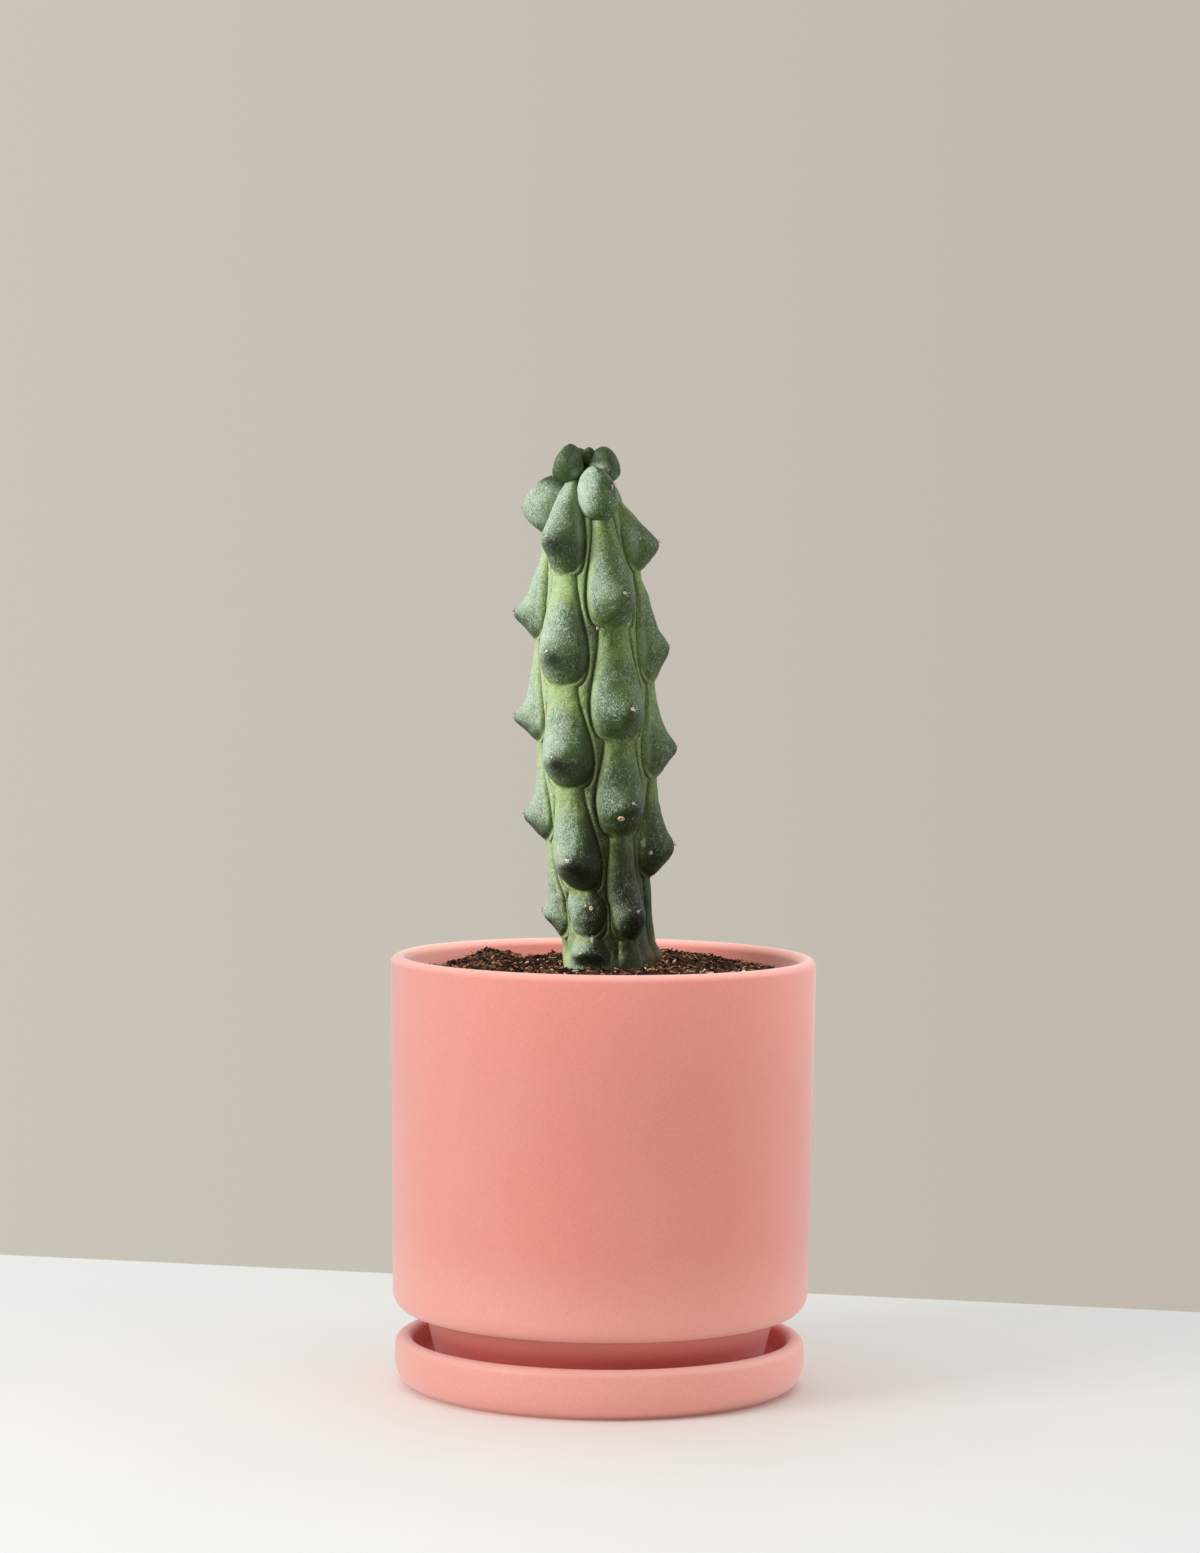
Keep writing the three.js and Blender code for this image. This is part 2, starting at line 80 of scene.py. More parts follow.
# Outlines from the axis outwards, up and back in: radius, height and rounding
SAUCER_OUTLINE = [
    (0, 0, 0),
    (57.6, 0, 0),
    (58.3, 0.85, 0),
    (59.6, 1.45, 0),
    (60.8, 2.4, 0),
    (61.7, 3.7, 0),
    (62.3, 5.2, 0),
    (62.65, 7, 0),
    (62.8, 9, 0),
    (62.5, SAUCER_RIM, SAUCER_ROUNDING),
    (57.2, SAUCER_RIM, SAUCER_ROUNDING),
    (57.2, SAUCER_FLOOR, 2.8),
    (0, SAUCER_FLOOR, 0),
]
POT_OUTLINE = [
    (DRAIN_RADIUS, RECESS_HEIGHT, 0.7),
    (35.4, RECESS_HEIGHT, 0),
    (37.6, FOOT_BOTTOM, 0.5),
    (49.6, FOOT_BOTTOM, 1),
    (52.9, 19.7, 0),
    (53.4, 21.7, 0),
    (54.4, 22.6, 0),
    (56, SKIRT_BOTTOM, 0),
    (63.5, SKIRT_BOTTOM, SKIRT_ROUNDING),
    (POT_RADIUS, POT_RIM, LIP_ROUNDING),
    (POT_RADIUS - POT_WALL, POT_RIM, LIP_ROUNDING),
    (58.5, SHELF_HEIGHT, 2.8),
    (50.4, SHELF_HEIGHT, 2),
    (48.4, POT_FLOOR, 2.8),
    (DRAIN_RADIUS, POT_FLOOR, 0.7),
]

# The ceramic's tone. It is paler towards the left, where the key light falls, and towards the skirt, where
# the floor throws light back: painted light at two places, and the share of pale at each. It is deeper under
# the skirt, wholly at the first depth and by half from the second up to the skirt's edge, and inside the
# saucer: painted shade. It is pale again in a band under the rim: a painted highlight
PAINTED_LIGHT_LEFT = (-60, -6, 0.45, 0.0)
PAINTED_LIGHT_SKIRT = (24, 52, 0.8, 0.0)
PALE_CLOUDS = 0.14
PALE_ALL_OVER = 0.08
FOOT_SHADE_DEPTHS = (8, 2)
SKIRT_EDGE = (0.6, 0.3)
INSIDE_EDGE = 0.8
RIM_BAND = 2.4

# Soil: its underside and wall by radius and height, and its heaps by place, width and height
SOIL_OUTLINE = [(0, 14.9, 0), (45, 14.9, 0), (48, 18, 0), (49.9, 30.2, 0), (56, 30.2, 0), (58.1, 33, 0)]
SOIL_WALL_RADIUS = 59.5
SOIL_EDGE = 125.2
SOIL_MOUND = 2.9
SOIL_HEAPS = [(25, 38, 19, 2.6), (-35, 41, 8, 2.6)]
SOIL_LUMPS = 460
SOIL_LUMP_SIZE = 3.4
SOIL_LUMP_SLOPE = 0.42
SOIL_SEED = 11
SOIL_RINGS = 76
SOIL_SIDES = 150
# Fine roughness: height, size and seed
SOIL_ROUGHNESS = [(0.75, 2.6, 3), (0.45, 1.1, 9)]
SOIL_SINK = 0.25
# Round the stem the soil is level, a little under the line where the skin starts
SOIL_LEVEL_RING = (16, 24)
SOIL_UNDER_LINE = 0.3

# Loose crumbs and fibres, kept within the wall and off the stem. A size or a tone is a least value and a
# range above it, which is drawn by chance and raised to a power
LOOSE_RADIUS = 59.2
LOOSE_WALL = 59.6
LOOSE_FROM_STEM = 13.9
Loose = namedtuple("Loose", "shapes proportions unevenness size tone tilt lift seed")
CRUMBS = Loose(5, (1, 0.72, 0.5), 0.14, (0.45, 1.75, 3), (0.05, 0.95, 2.6), tilt=1.6, lift=0.1, seed=21)
FIBRES = Loose(4, (1, 0.13, 0.07), 0.05, (1, 2.7, 2), (0.2, 0.8, 1.3), tilt=1.1, lift=0.12, seed=33)

# Stem: line and neck by height, the neck being the ridge between two knobs
STEM_LINE = [
    (84, 1.7),
    (130, 1.7),
    (145, 0.2),
    (157, -1.4),
    (193, -2.6),
    (220, -3.9),
    (250, -4.9),
    (285, -7),
]
STEM_NECK = [
    (84.5, 1.2),
    (87, 5.2),
    (92, 8.6),
    (104, 11.6),
    (118, 13.3),
    (128, 13.9),
    (136, 14.2),
    (145, 14.5),
    (157, 15.5),
    (172, 17),
    (190, 18.2),
    (220, 18.3),
    (236, 16.9),
    (250, 14.9),
    (258, 13.6),
    (265, 12.1),
    (271, 9.8),
    (276.5, 6.6),
]
STEM_BOTTOM = 84.2
STEM_TOP = 280
SOIL_LINE = 128.4
RIBS_FULL = 134.2
ROOT_ROWS = 6
STEM_ROWS = 300
# Gentle waves in the skin: height, size and seed, and how far they are drawn out up the stem
STEM_WAVES = [(0.3, 9, 4, 1), (0.08, 2.6, 7, 0.5)]

# Knobs of each rib from the top down: height of the tip, reach from the stem's line, bearing from the
# front, distance from the tip down to the knob's lower edge, and the share of the reach in the nipple
Knob = namedtuple("Knob", "height reach bearing below pointed")
RIBS = [
    [
        Knob(258.7, 20.9, -40, 10.8, 0.5),
        Knob(224.1, 23.6, -37, 9.6, 0.5),
        Knob(192.2, 24.6, -34, 8.4, 0.5),
        Knob(161.1, 23, -25, 8.4, 0.5),
        Knob(147.2, 15.9, -20, 8.9, 0.1),
        Knob(132.7, 16.7, -31, 9, 0.5),
    ],
    [
        Knob(241.8, 22.7, 26, 9.6, 0.5),
        Knob(207, 24.7, 27, 8.6, 0.5),
        Knob(178.7, 23.7, 27, 9.4, 0.5),
        Knob(145.6, 18.9, 33, 7.9, 0.4),
    ],
    [
        Knob(257.3, 21, 82, 8, 0.3),
        Knob(226, 23.3, 82, 10.4, 0.5),
        Knob(195.6, 24.4, 82, 9, 0.5),
        Knob(165.4, 23.2, 83, 9.4, 0.35),
    ],
    [
        Knob(241, 23, 142, 10, 0.5),
        Knob(207.5, 24.8, 143, 9, 0.45),
        Knob(177, 23.2, 141, 10, 0.5),
        Knob(147, 18.4, 144, 9, 0.4),
    ],
    [
        Knob(256.5, 21, 201, 9, 0.4),
        Knob(226.5, 23.6, 202, 10, 0.5),
        Knob(195, 24.6, 203, 9, 0.5),
        Knob(164.5, 23, 200, 10, 0.45),
        Knob(146, 17.2, 203, 9, 0.3),
    ],
    [
        Knob(235.8, 24.1, 262, 7.8, 0.5),
        Knob(204, 25.3, 262, 7, 0.6),
        Knob(174.2, 22.7, 263, 7.4, 0.5),
        Knob(144.4, 19.2, 264, 7.4, 0.7),
    ],
]
# How far each rib's top knob goes up, and a nipple's size: up, down as a share of the lower half, across
TOP_ABOVE = (28, 24, 14, 20, 16, 26)
NIPPLE_ABOVE = 4.2
NIPPLE_BELOW = 0.44
NIPPLE_ACROSS = 3.9
NECK_CREST = 1.4
CREST_POWER = 2.4
CREST_ROUNDING = 0.95
CREASE_DEPTH = 0.6
CREASE_WIDTH = 0.4
CREASE_LEAST = 0.3
CREASES_START = (139, 157)
# The fold under a knob starts and ends at shares of its lower half
FOLD_DEPTH = 0.4
FOLD_WIDTH = 0.6
FOLD_STARTS = (0.05, 0.5)
FOLD_ENDS = (0.86, 1.02)
VALLEY_RISE = 0.2
VALLEY_LINE = 0.5
# In radians round the stem: a valley's width, the least that it narrows to, and how far its creases weave
VALLEY_WIDTH = 0.2
VALLEY_LEAST = 0.088
CREASE_WEAVE = 0.112
RIB_COLUMNS = 38
VALLEY_COLUMNS = 8
AREOLE_RISE = 1
# Swelling at the root, its half width in radians round the stem
FLARE_BEARING = 84
FLARE_HEIGHT = 130
FLARE_REACH = 4.4
FLARE_SIDEWAYS = 0.5
FLARE_UPRIGHT = 4

# Tones on a knob: two dark spots by its tip, on its side away from the light, painted shade over darker
# bare skin (distance under it, height, distance to the right of it, width), how dark they are up the stem
# and on each rib, the painted shade in its fold from left to right, and the pale line beside a crease, a
# painted highlight (distance from it and width)
TIP_CORE = (1.5, 2.8, 1.1, 2.3)
TIP_SHADE = (2.6, 4.4, 2, 4.4)
TIP_SHADE_DEPTH = 0.65
TIPS_DARKEN = (140, 160)
TIP_DARKNESS = (1, 0.5, 1, 1, 1, 1)
FOLD_SHADE = (-3, 4)
PALE_LINE = (1.3, 0.55)
VALLEY_TONE = 0.14

# Young knobs of the crown: bearing and distance from the stem's line, height, half sizes across, upright
# and outward, tilt back and lean to the side, the way the tip points (across, upright, outward) and how
# far, flats pressed on it (a facing and a distance), and the size of its tuft
Young = namedtuple("Young", "bearing out height half tilt lean tip point flats tuft")
CROWN = [
    Young(17, 8.8, 272.2, (6.1, 8.9, 7.2), 14, 13, (0.62, 0.34, 0.7), 0.1, [], 0.9),
    Young(262, 10, 268.4, (6.6, 9.9, 10.1), 0, 0, (0, 0, 1), 0.02, [(0, -0.76, 0.65, 8.6)], 0.35),
    Young(150, 9, 269.6, (5.8, 7.6, 6.4), 4, 0, (0, 0, 1), 0.12, [], 0.75),
    Young(
        -46, 7.4, 281.6, (4.4, 6.2, 4.7), 0, -4, (-0.4, -0.55, 0.73), 0.14,
        [(0, -1, 0, 5.7), (-0.8, 0.6, 0.3, 4.2)], 0.4,
    ),
    Young(66, 5.9, 281.4, (4.9, 5.7, 5), 0, 0, (-0.8, -0.3, 0.6), 0.04, [(0.1, 0.45, 0.9, 4.3)], 0.35),
    Young(204, 6.4, 281.2, (4.4, 5.6, 4.8), 12, 0, (0, 0, 1), 0.12, [], 0.6),
    Young(15, 2.4, 283.6, (2.4, 3.3, 2.2), 30, 0, (0, 0, 1), 0, [], 0),
    Young(255, 2.2, 284.4, (1.9, 2.8, 1.8), 40, 0, (0, 0, 1), 0, [], 0),
]
YOUNG_TAPER = 0.16
FLAT_SOFTNESS = 0.9
YOUNG_WAVES = (0.2, 4, 5)

# Where the skin changes over the plant. In a pair, the change is whole at the first place and gone at the
# second. Bloom and the lit neck tone lie on the sides that look the way the light comes from, and on the
# right side towards the right: painted light, most on one pale young knob
LIGHT_WAY = (-0.86, -0.3, 0.42)
YOUNG_SKIN = (268, 252)
FRESH_SKIN = (278, 274)
PALE_YOUNG = (-3.6, -8.4, 272.2)
PALE_YOUNG_REACH = (8.5, 11)
RIGHT_LIGHT = (25, 8)
SCRAPED_SKIN = (155, 215)
CORK_HEIGHT = (128, 140)
CORK_SIDE = (0.92, 0.62)
# Painted shade on the lower stem where it is turned from the light, in a dusky band and at the root
LOWER_STEM_SHADE = (147, 225)
STEM_FOOT_SHADE = (142, 158)
DUSK_TOP = (254, 266)
DUSK_BEARING = 1
DUSK_WIDTH = (8, 32)
ROOT_SHADE_TOP = (158, 174)
ROOT_SHADE_BEARING = 28
ROOT_SHADE_WIDTH = (14, 34)

# Tufts: the wool's half width and flatness, and the spines' number, length, thickness, slope and tone
SMALL_TUFT = 0.7
SIDE_RIBS = (2, 5)
WOOL_SIZE = 0.62
WOOL_FLATNESS = 0.45
LARGE_TUFT = 0.75
LARGE_STAR = 7
SMALL_STAR = 5
SPINE_LENGTH = (1.1, 0.9)
SPINE_THICKNESS = 0.13
SPINE_SLOPE = (38, 40)
SPINE_BEND = 0.9
DARK_SPINES = 0.66

# Scars and corky specks on the skin: bearing, height, half width and half height
SCARS = [
    (19.5, 174.9, 1.05, 1.05),
    (-14, 147.4, 0.6, 0.75),
    (-62, 207.6, 0.5, 0.7),
    (-58, 181.3, 0.55, 0.6),
    (40, 233.5, 0.35, 0.45),
    (62, 164, 0.6, 0.6),
    (5, 232, 0.4, 0.5),
]
SCAR_THICKNESS = 0.35
SCAR_HOLLOW = 0.5

# Studio, in metres. A lamp has a place, the point that it is aimed at, and a size
FLOOR_PLACE = (0, -0.16, -0.01)
FLOOR_SIZE = (1.1, 0.68, 0.02)
FLOOR_TURN = -12.5
KEY_LAMP = ((-1.2, -0.8, 0.85), (0, 0, 0.12), 0.7)
EDGE_LAMP = ((1.1, 0.35, 0.6), (0, 0, 0.12), 0.8)
EDGE_SHARE = 0.52
PLANT_LAMP = ((-0.7, -0.16, 0.54), (0, 0, 0.214), 0.16)
MOUTH_LAMP = ((0.14, -0.64, 0.98), (-0.004, 0.038, 0.122), 0.03)
MOUTH_CONE = 8.4
MOUTH_BLEND = 0.4
LAMP_TINT = (1.0, 0.995, 0.985)
MOUTH_TINT = (1.0, 0.96, 0.91)

# Camera of the photograph
CAMERA_PLACE = (-1.68, -1300, 251.2)
CAMERA_PITCH = 2.845
CAMERA_ROLL = 0.61
CAMERA_LENS = 98.84
CAMERA_SENSOR = 36


def tint(red, green, blue):
    """A colour of 0 to 255 values as a linear one"""
    return tuple(((c / 255 + 0.055) / 1.055) ** 2.4 if c > 10 else c / 3294.6 for c in (red, green, blue))


# Settings that a user may change


def length(name, description, millimetres, low=0.01, high=500):
    return bpy.props.FloatProperty(
        name=name,
        description=description,
        default=millimetres * MM,
        min=low * MM,
        max=high * MM,
        subtype="DISTANCE",
        unit="LENGTH",
        precision=5,
    )


def colour(name, description, red, green, blue):
    default = tint(red, green, blue)
    return bpy.props.FloatVectorProperty(
        name=name, description=description, default=default, min=0, max=1, size=3, subtype="COLOR"
    )


def share(name, description, default, high=1):
    return bpy.props.FloatProperty(
        name=name, description=description, default=default, min=0, max=high, subtype="FACTOR"
    )


def amount(name, description, default, high):
    return bpy.props.IntProperty(name=name, description=description, default=default, min=0, max=high)


def lamp_power(name, description, default):
    return bpy.props.FloatProperty(name=name, description=description, default=default, min=0, unit="POWER")


class CeramicSettings(bpy.types.PropertyGroup):
    """Finish of the pot and the saucer"""

    body: colour("Body", "Main colour of the matt ceramic", 231, 142, 129)
    # The pale colour is also painted light on the left and low down, and over the whole saucer
    pale: colour("Pale", "Colour of the paler clouds in the ceramic", 241, 164, 152)
    # The rim colour is a painted highlight in a band under each rim
    rim: colour("Rim", "Colour at the rims, where the slip is thin", 250, 196, 184)
    # The deep colour is painted shade under the pot's skirt and on the saucer's floor round the foot
    foot_shade: colour("Deep", "Colour of the foot and of the saucer's inside", 216, 106, 100)
    roughness: share("Roughness", "How matt the ceramic is", 0.5)
    grain: length("Grain", "Height of the fine grain", 0.03, 0)


class SoilSettings(bpy.types.PropertyGroup):
    """Colours and amounts of the potting soil"""

    dark: colour("Dark", "Colour of the damp soil", 27, 18, 14)
    brown: colour("Brown", "Colour of the drier crumbs", 94, 60, 42)
    tan: colour("Tan", "Colour of bark chips and fibres", 182, 128, 88)
    crumbs: amount("Crumbs", "Number of loose crumbs", 8600, 9500)
    fibres: amount("Fibres", "Number of chips and fibres", 2700, 5000)


class SkinSettings(bpy.types.PropertyGroup):
    """Colours of the plant's skin"""

    flank: colour("Flank", "Skin on the sides of the knobs", 68, 90, 42)
    # The neck and lit neck colours are one skin shaded and lit: painted shade and painted light
    neck: colour("Neck", "Olive skin between two knobs", 78, 98, 40)
    lit_neck: colour("Lit neck", "Yellow-green skin between two knobs, towards the light", 124, 148, 70)
    # The nipple colour is darker bare skin by each tip, with painted shade laid over it
    nipple: colour("Nipple", "Dark skin round each knob's tip", 25, 36, 25)
    # The crease colour is painted shade in the creases and in the folds under the knobs
    crease: colour("Crease", "Skin in the creases between ribs", 34, 50, 20)
    bloom: colour("Bloom", "Pale wax on the skin", 166, 183, 162)
    neck_bloom: colour("Neck bloom", "Pale wax on the skin between two knobs", 166, 182, 130)
    cork: colour("Cork", "Old corky skin at the soil", 120, 88, 56)
    bloom_amount: share("Bloom amount", "How much of the skin the wax covers", 0.7)
    roughness: share("Roughness", "How matt the skin is", 0.55)


class StudioSettings(bpy.types.PropertyGroup):
    """Floor, light and backdrop"""

    floor: colour("Floor", "Colour of the floor", 249, 251, 247)
    # The backdrop's two colours are painted light, fading from left to right
    backdrop_left: colour("Backdrop left", "Colour behind the object, on the left", 203, 196, 185)
    backdrop_right: colour("Backdrop right", "Colour behind the object, on the right", 192, 184, 173)
    ambient: colour("Ambient", "Colour of the even light from all round", 208, 208, 207)
    fill: share("Fill", "Strength of the even light from all round", 0.93, 4)
    key_power: lamp_power("Key", "Power of the key light", 9.4)
    plant_power: lamp_power("Plant light", "Power of the light on the plant alone", 5.4)
    mouth_power: lamp_power("Mouth light", "Power of the light let into the pot", 27)


# Small tools

# Names of the finished pieces, by the node that they belong to
PIECES = {}


def deselect():
    if bpy.context.object and bpy.context.object.mode != "OBJECT":
        bpy.ops.object.mode_set(mode="OBJECT")
    bpy.ops.object.select_all(action="DESELECT")


def only(obj):
    deselect()
    obj.select_set(True)
    bpy.context.view_layer.objects.active = obj


def finish_piece(obj, name, material, slot, nodes=()):
    """Names a finished piece, gives it its material, and ties it to the body and the nodes it stands for"""
    obj.name = name
    obj.data.name = name
    obj.data.materials.clear()
    obj.data.materials.append(material)
    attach(obj, "root")
    PIECES.setdefault(slot, []).append(name)
    if nodes:
        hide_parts(*nodes)


def smooth_step(value, low, high):
    """0 up to the low value, 1 from the high one, and a smooth rise between them"""
    t = min(1, max(0, (value - low) / (high - low)))
    return t * t * (3 - 2 * t)


def even_step(values, low, high):
    return np.clip((values - low) / (high - low), 0, 1)


def smooth_step_all(values, low, high):
    part = even_step(values, low, high)
    return part * part * (3 - 2 * part)


def from_to(values, places, step=smooth_step_all):
    """1 at the first place and beyond it, 0 at the second, and a fall between them"""
    whole, gone = places
    return step(values, gone, whole)


def along(pairs, place):
    """Value at a place of a smooth line through (place, value) pairs"""
    if place <= pairs[0][0]:
        return pairs[0][1]
    if place >= pairs[-1][0]:
        return pairs[-1][1]
    i = 0
    while pairs[i + 1][0] < place:
        i += 1

    def slope(j):
        before, after = pairs[max(0, j - 1)], pairs[min(len(pairs) - 1, j + 1)]
        return (after[1] - before[1]) / (after[0] - before[0])

    span = pairs[i + 1][0] - pairs[i][0]
    t = (place - pairs[i][0]) / span
    start = (2 * t**3 - 3 * t**2 + 1) * pairs[i][1] + (t**3 - 2 * t**2 + t) * span * slope(i)
    return start + (3 * t**2 - 2 * t**3) * pairs[i + 1][1] + (t**3 - t**2) * span * slope(i + 1)


def lay_attribute(mesh, name, values):
    """Stores one value or colour a vertex"""
    values = np.asarray(values, np.float32)
    if values.ndim == 1:
        mesh.attributes.new(name, "FLOAT", "POINT").data.foreach_set("value", values)
    else:
        mesh.attributes.new(name, "FLOAT_COLOR", "POINT").data.foreach_set("color", values.ravel())


def corners_of(mesh):
    places = np.empty(len(mesh.vertices) * 3, np.float32)
    mesh.vertices.foreach_get("co", places)
    return places.reshape(-1, 3).astype(float)


def fill_mesh(mesh, corners, faces, tones):
    """Gives a mesh new corners and faces, with the copies' tones"""
    mesh.clear_geometry()
    mesh.from_pydata(corners.tolist(), [], faces)
    mesh.update()
    lay_attribute(mesh, "shade", np.concatenate(tones))


def cut_lengthways(obj, axis):
    """Cuts the long edges of a shape in edit mode, one unit long along an axis, into three"""
    shape = bmesh.from_edit_mesh(obj.data)
    for edge in shape.edges:
        edge.select = abs(edge.verts[0].co[axis] - edge.verts[1].co[axis]) > 0.5
    bmesh.update_edit_mesh(obj.data)
    bpy.ops.mesh.select_mode(type="EDGE")
    bpy.ops.mesh.subdivide(number_cuts=2)
    bpy.ops.mesh.select_mode(type="VERT")


def face_outwards(obj):
    """Turns every face of a closed shape to look out of it"""
    shape = bmesh.new()
    shape.from_mesh(obj.data)
    bmesh.ops.recalc_face_normals(shape, faces=shape.faces)
    if shape.calc_volume(signed=True) < 0:
        bmesh.ops.reverse_faces(shape, faces=shape.faces)
    shape.to_mesh(obj.data)
    shape.free()


def move_corners(mesh, places):
    mesh.vertices.foreach_set("co", np.asarray(places, np.float32).ravel())
    mesh.update()


def turned(outline, sides, closed):
    """Draws an outline as a chain of extruded points, spins it round the axis and rounds its corners"""
    deselect()
    radius, height, _ = outline[0]
    bpy.ops.mesh.primitive_plane_add(size=MM, location=(radius * MM, 0, height * MM))
    obj = bpy.context.object
    bpy.ops.object.transform_apply(location=True, rotation=False, scale=False)
    bpy.ops.object.mode_set(mode="EDIT")
    bpy.ops.mesh.select_mode(type="VERT")
    bpy.ops.mesh.merge(type="CENTER")
    for (r0, z0, _), (r1, z1, _) in zip(outline, outline[1:]):
        step = ((r1 - r0) * MM, 0, (z1 - z0) * MM)
        bpy.ops.mesh.extrude_region_move(TRANSFORM_OT_translate={"value": step})
    bpy.ops.mesh.select_all(action="SELECT")
    if closed:
        shape = bmesh.from_edit_mesh(obj.data)
        ends = [v for v in shape.verts if len(v.link_edges) == 1]
        for v in shape.verts:
            v.select = v in ends
        shape.select_flush_mode()
        bmesh.update_edit_mesh(obj.data)
        bpy.ops.mesh.edge_face_add()
        bpy.ops.mesh.select_all(action="SELECT")
    bpy.ops.mesh.spin(steps=sides, angle=math.tau, center=(0, 0, 0), axis=(0, 0, 1))
    bpy.ops.mesh.select_all(action="SELECT")
    bpy.ops.mesh.remove_doubles(threshold=1e-6)
    bpy.ops.mesh.normals_make_consistent(inside=False)
    for radius, height, rounding in outline:
        if rounding:
            round_ring(obj, radius, height, rounding)
    bpy.ops.object.mode_set(mode="OBJECT")
    only(obj)
    bpy.ops.object.shade_smooth_by_angle(angle=math.radians(SHARP_ANGLE))
    return obj


def round_ring(obj, radius, height, rounding):
    """Rounds the ring of edges at one corner of a turned shape"""
    shape = bmesh.from_edit_mesh(obj.data)
    for v in shape.verts:
        off_ring = math.hypot(math.hypot(v.co.x, v.co.y) - radius * MM, v.co.z - height * MM)
        v.select = off_ring < 0.02 * MM
    shape.select_flush_mode()
    bmesh.update_edit_mesh(obj.data)
    bpy.ops.mesh.bevel(offset=rounding * MM, segments=8 if rounding > LARGE_ROUNDING else 4, affect="EDGES")


# Nodes


def fill(tree, node, inputs):
    """Fills a node's inputs with values or with other nodes' sockets"""
    for key, value in inputs.items():
        if isinstance(value, bpy.types.NodeSocket):
            tree.links.new(value, node.inputs[key])
        else:
            node.inputs[key].default_value = value


def add(tree, kind, inputs=None, **settings):
    """Adds a node, sets its options and fills its inputs"""
    made = tree.nodes.new(kind)
    for name, value in settings.items():
        setattr(made, name, value)
    fill(tree, made, inputs or {})
    return made


def calc(tree, operation, a, b=0.0, c=0.0, clamp=False):
    return add(tree, "ShaderNodeMath", {0: a, 1: b, 2: c}, operation=operation, use_clamp=clamp).outputs[0]


def times(tree, a, b, clamp=False):
    return calc(tree, "MULTIPLY", a, b, clamp=clamp)


def plus(tree, a, b, clamp=False):
    return calc(tree, "ADD", a, b, clamp=clamp)


def minus(tree, a, b):
    return calc(tree, "SUBTRACT", a, b)


def spread(tree, value, low, high, to_low=0.0, to_high=1.0):
    """Maps a value from one range to another, smoothly and held at both ends"""
    inputs = {0: value, 1: low, 2: high, 3: to_low, 4: to_high}
    return add(tree, "ShaderNodeMapRange", inputs, interpolation_type="SMOOTHSTEP").outputs[0]


def blend(tree, factor, first, second):
    """Mixes two colours, each a socket or three values"""
    first, second = (c if isinstance(c, bpy.types.NodeSocket) else (*c, 1) for c in (first, second))
    return add(tree, "ShaderNodeMix", {0: factor, 6: first, 7: second}, data_type="RGBA").outputs[2]


def brightened(tree, tone, value):
    return add(tree, "ShaderNodeHueSaturation", {"Value": value, "Color": tone}).outputs[0]


def darker(tone, part):
    return tuple(part * c for c in tone)


def cloud(tree, vector, scale, detail=3.0, rough=0.55):
    inputs = {"Vector": vector, "Scale": scale, "Detail": detail, "Roughness": rough}
    return add(tree, "ShaderNodeTexNoise", inputs).outputs[0]


def new_group(name, inputs, outputs):
    """A shader node group with its inputs' sockets and its output node. An input with no default is a
    vector, and all others are numbers"""
    group = bpy.data.node_groups.new(name, "ShaderNodeTree")
    for label, default in inputs.items():
        kind = "NodeSocketVector" if default is None else "NodeSocketFloat"
        socket = group.interface.new_socket(name=label, in_out="INPUT", socket_type=kind)
        if default is not None:
            socket.default_value = default
    for label in outputs:
        group.interface.new_socket(name=label, in_out="OUTPUT", socket_type="NodeSocketFloat")
    return group, group.nodes.new("NodeGroupInput").outputs, group.nodes.new("NodeGroupOutput")


def grain_group():
    """Fine grain for ceramic and plaster: an even height, soft clouds of tone, and rare pits"""
    if "Fine grain" in bpy.data.node_groups:
        return bpy.data.node_groups["Fine grain"]
    inputs = {"Vector": None, "Grain size": 900.0, "Cloud size": 40.0}
    group, given, out = new_group("Fine grain", inputs, ["Height", "Clouds", "Pits"])
    place, grain_size = given["Vector"], given["Grain size"]
    fine = cloud(group, place, grain_size, 2, 0.6)
    wide = cloud(group, place, given["Cloud size"], 4, 0.6)
    cells = add(group, "ShaderNodeTexVoronoi", {"Vector": place, "Scale": grain_size})
    pits = spread(group, cells.outputs["Distance"], 0.0, 0.28, 1.0, 0.0)
    rare = spread(group, cloud(group, place, 130.0, 2), 0.6, 0.68)
    pitted = times(group, pits, rare)
    height = minus(group, fine, times(group, pitted, 0.7))
    fill(group, out, {"Height": height, "Clouds": spread(group, wide, 0.35, 0.68), "Pits": pitted})
    return group


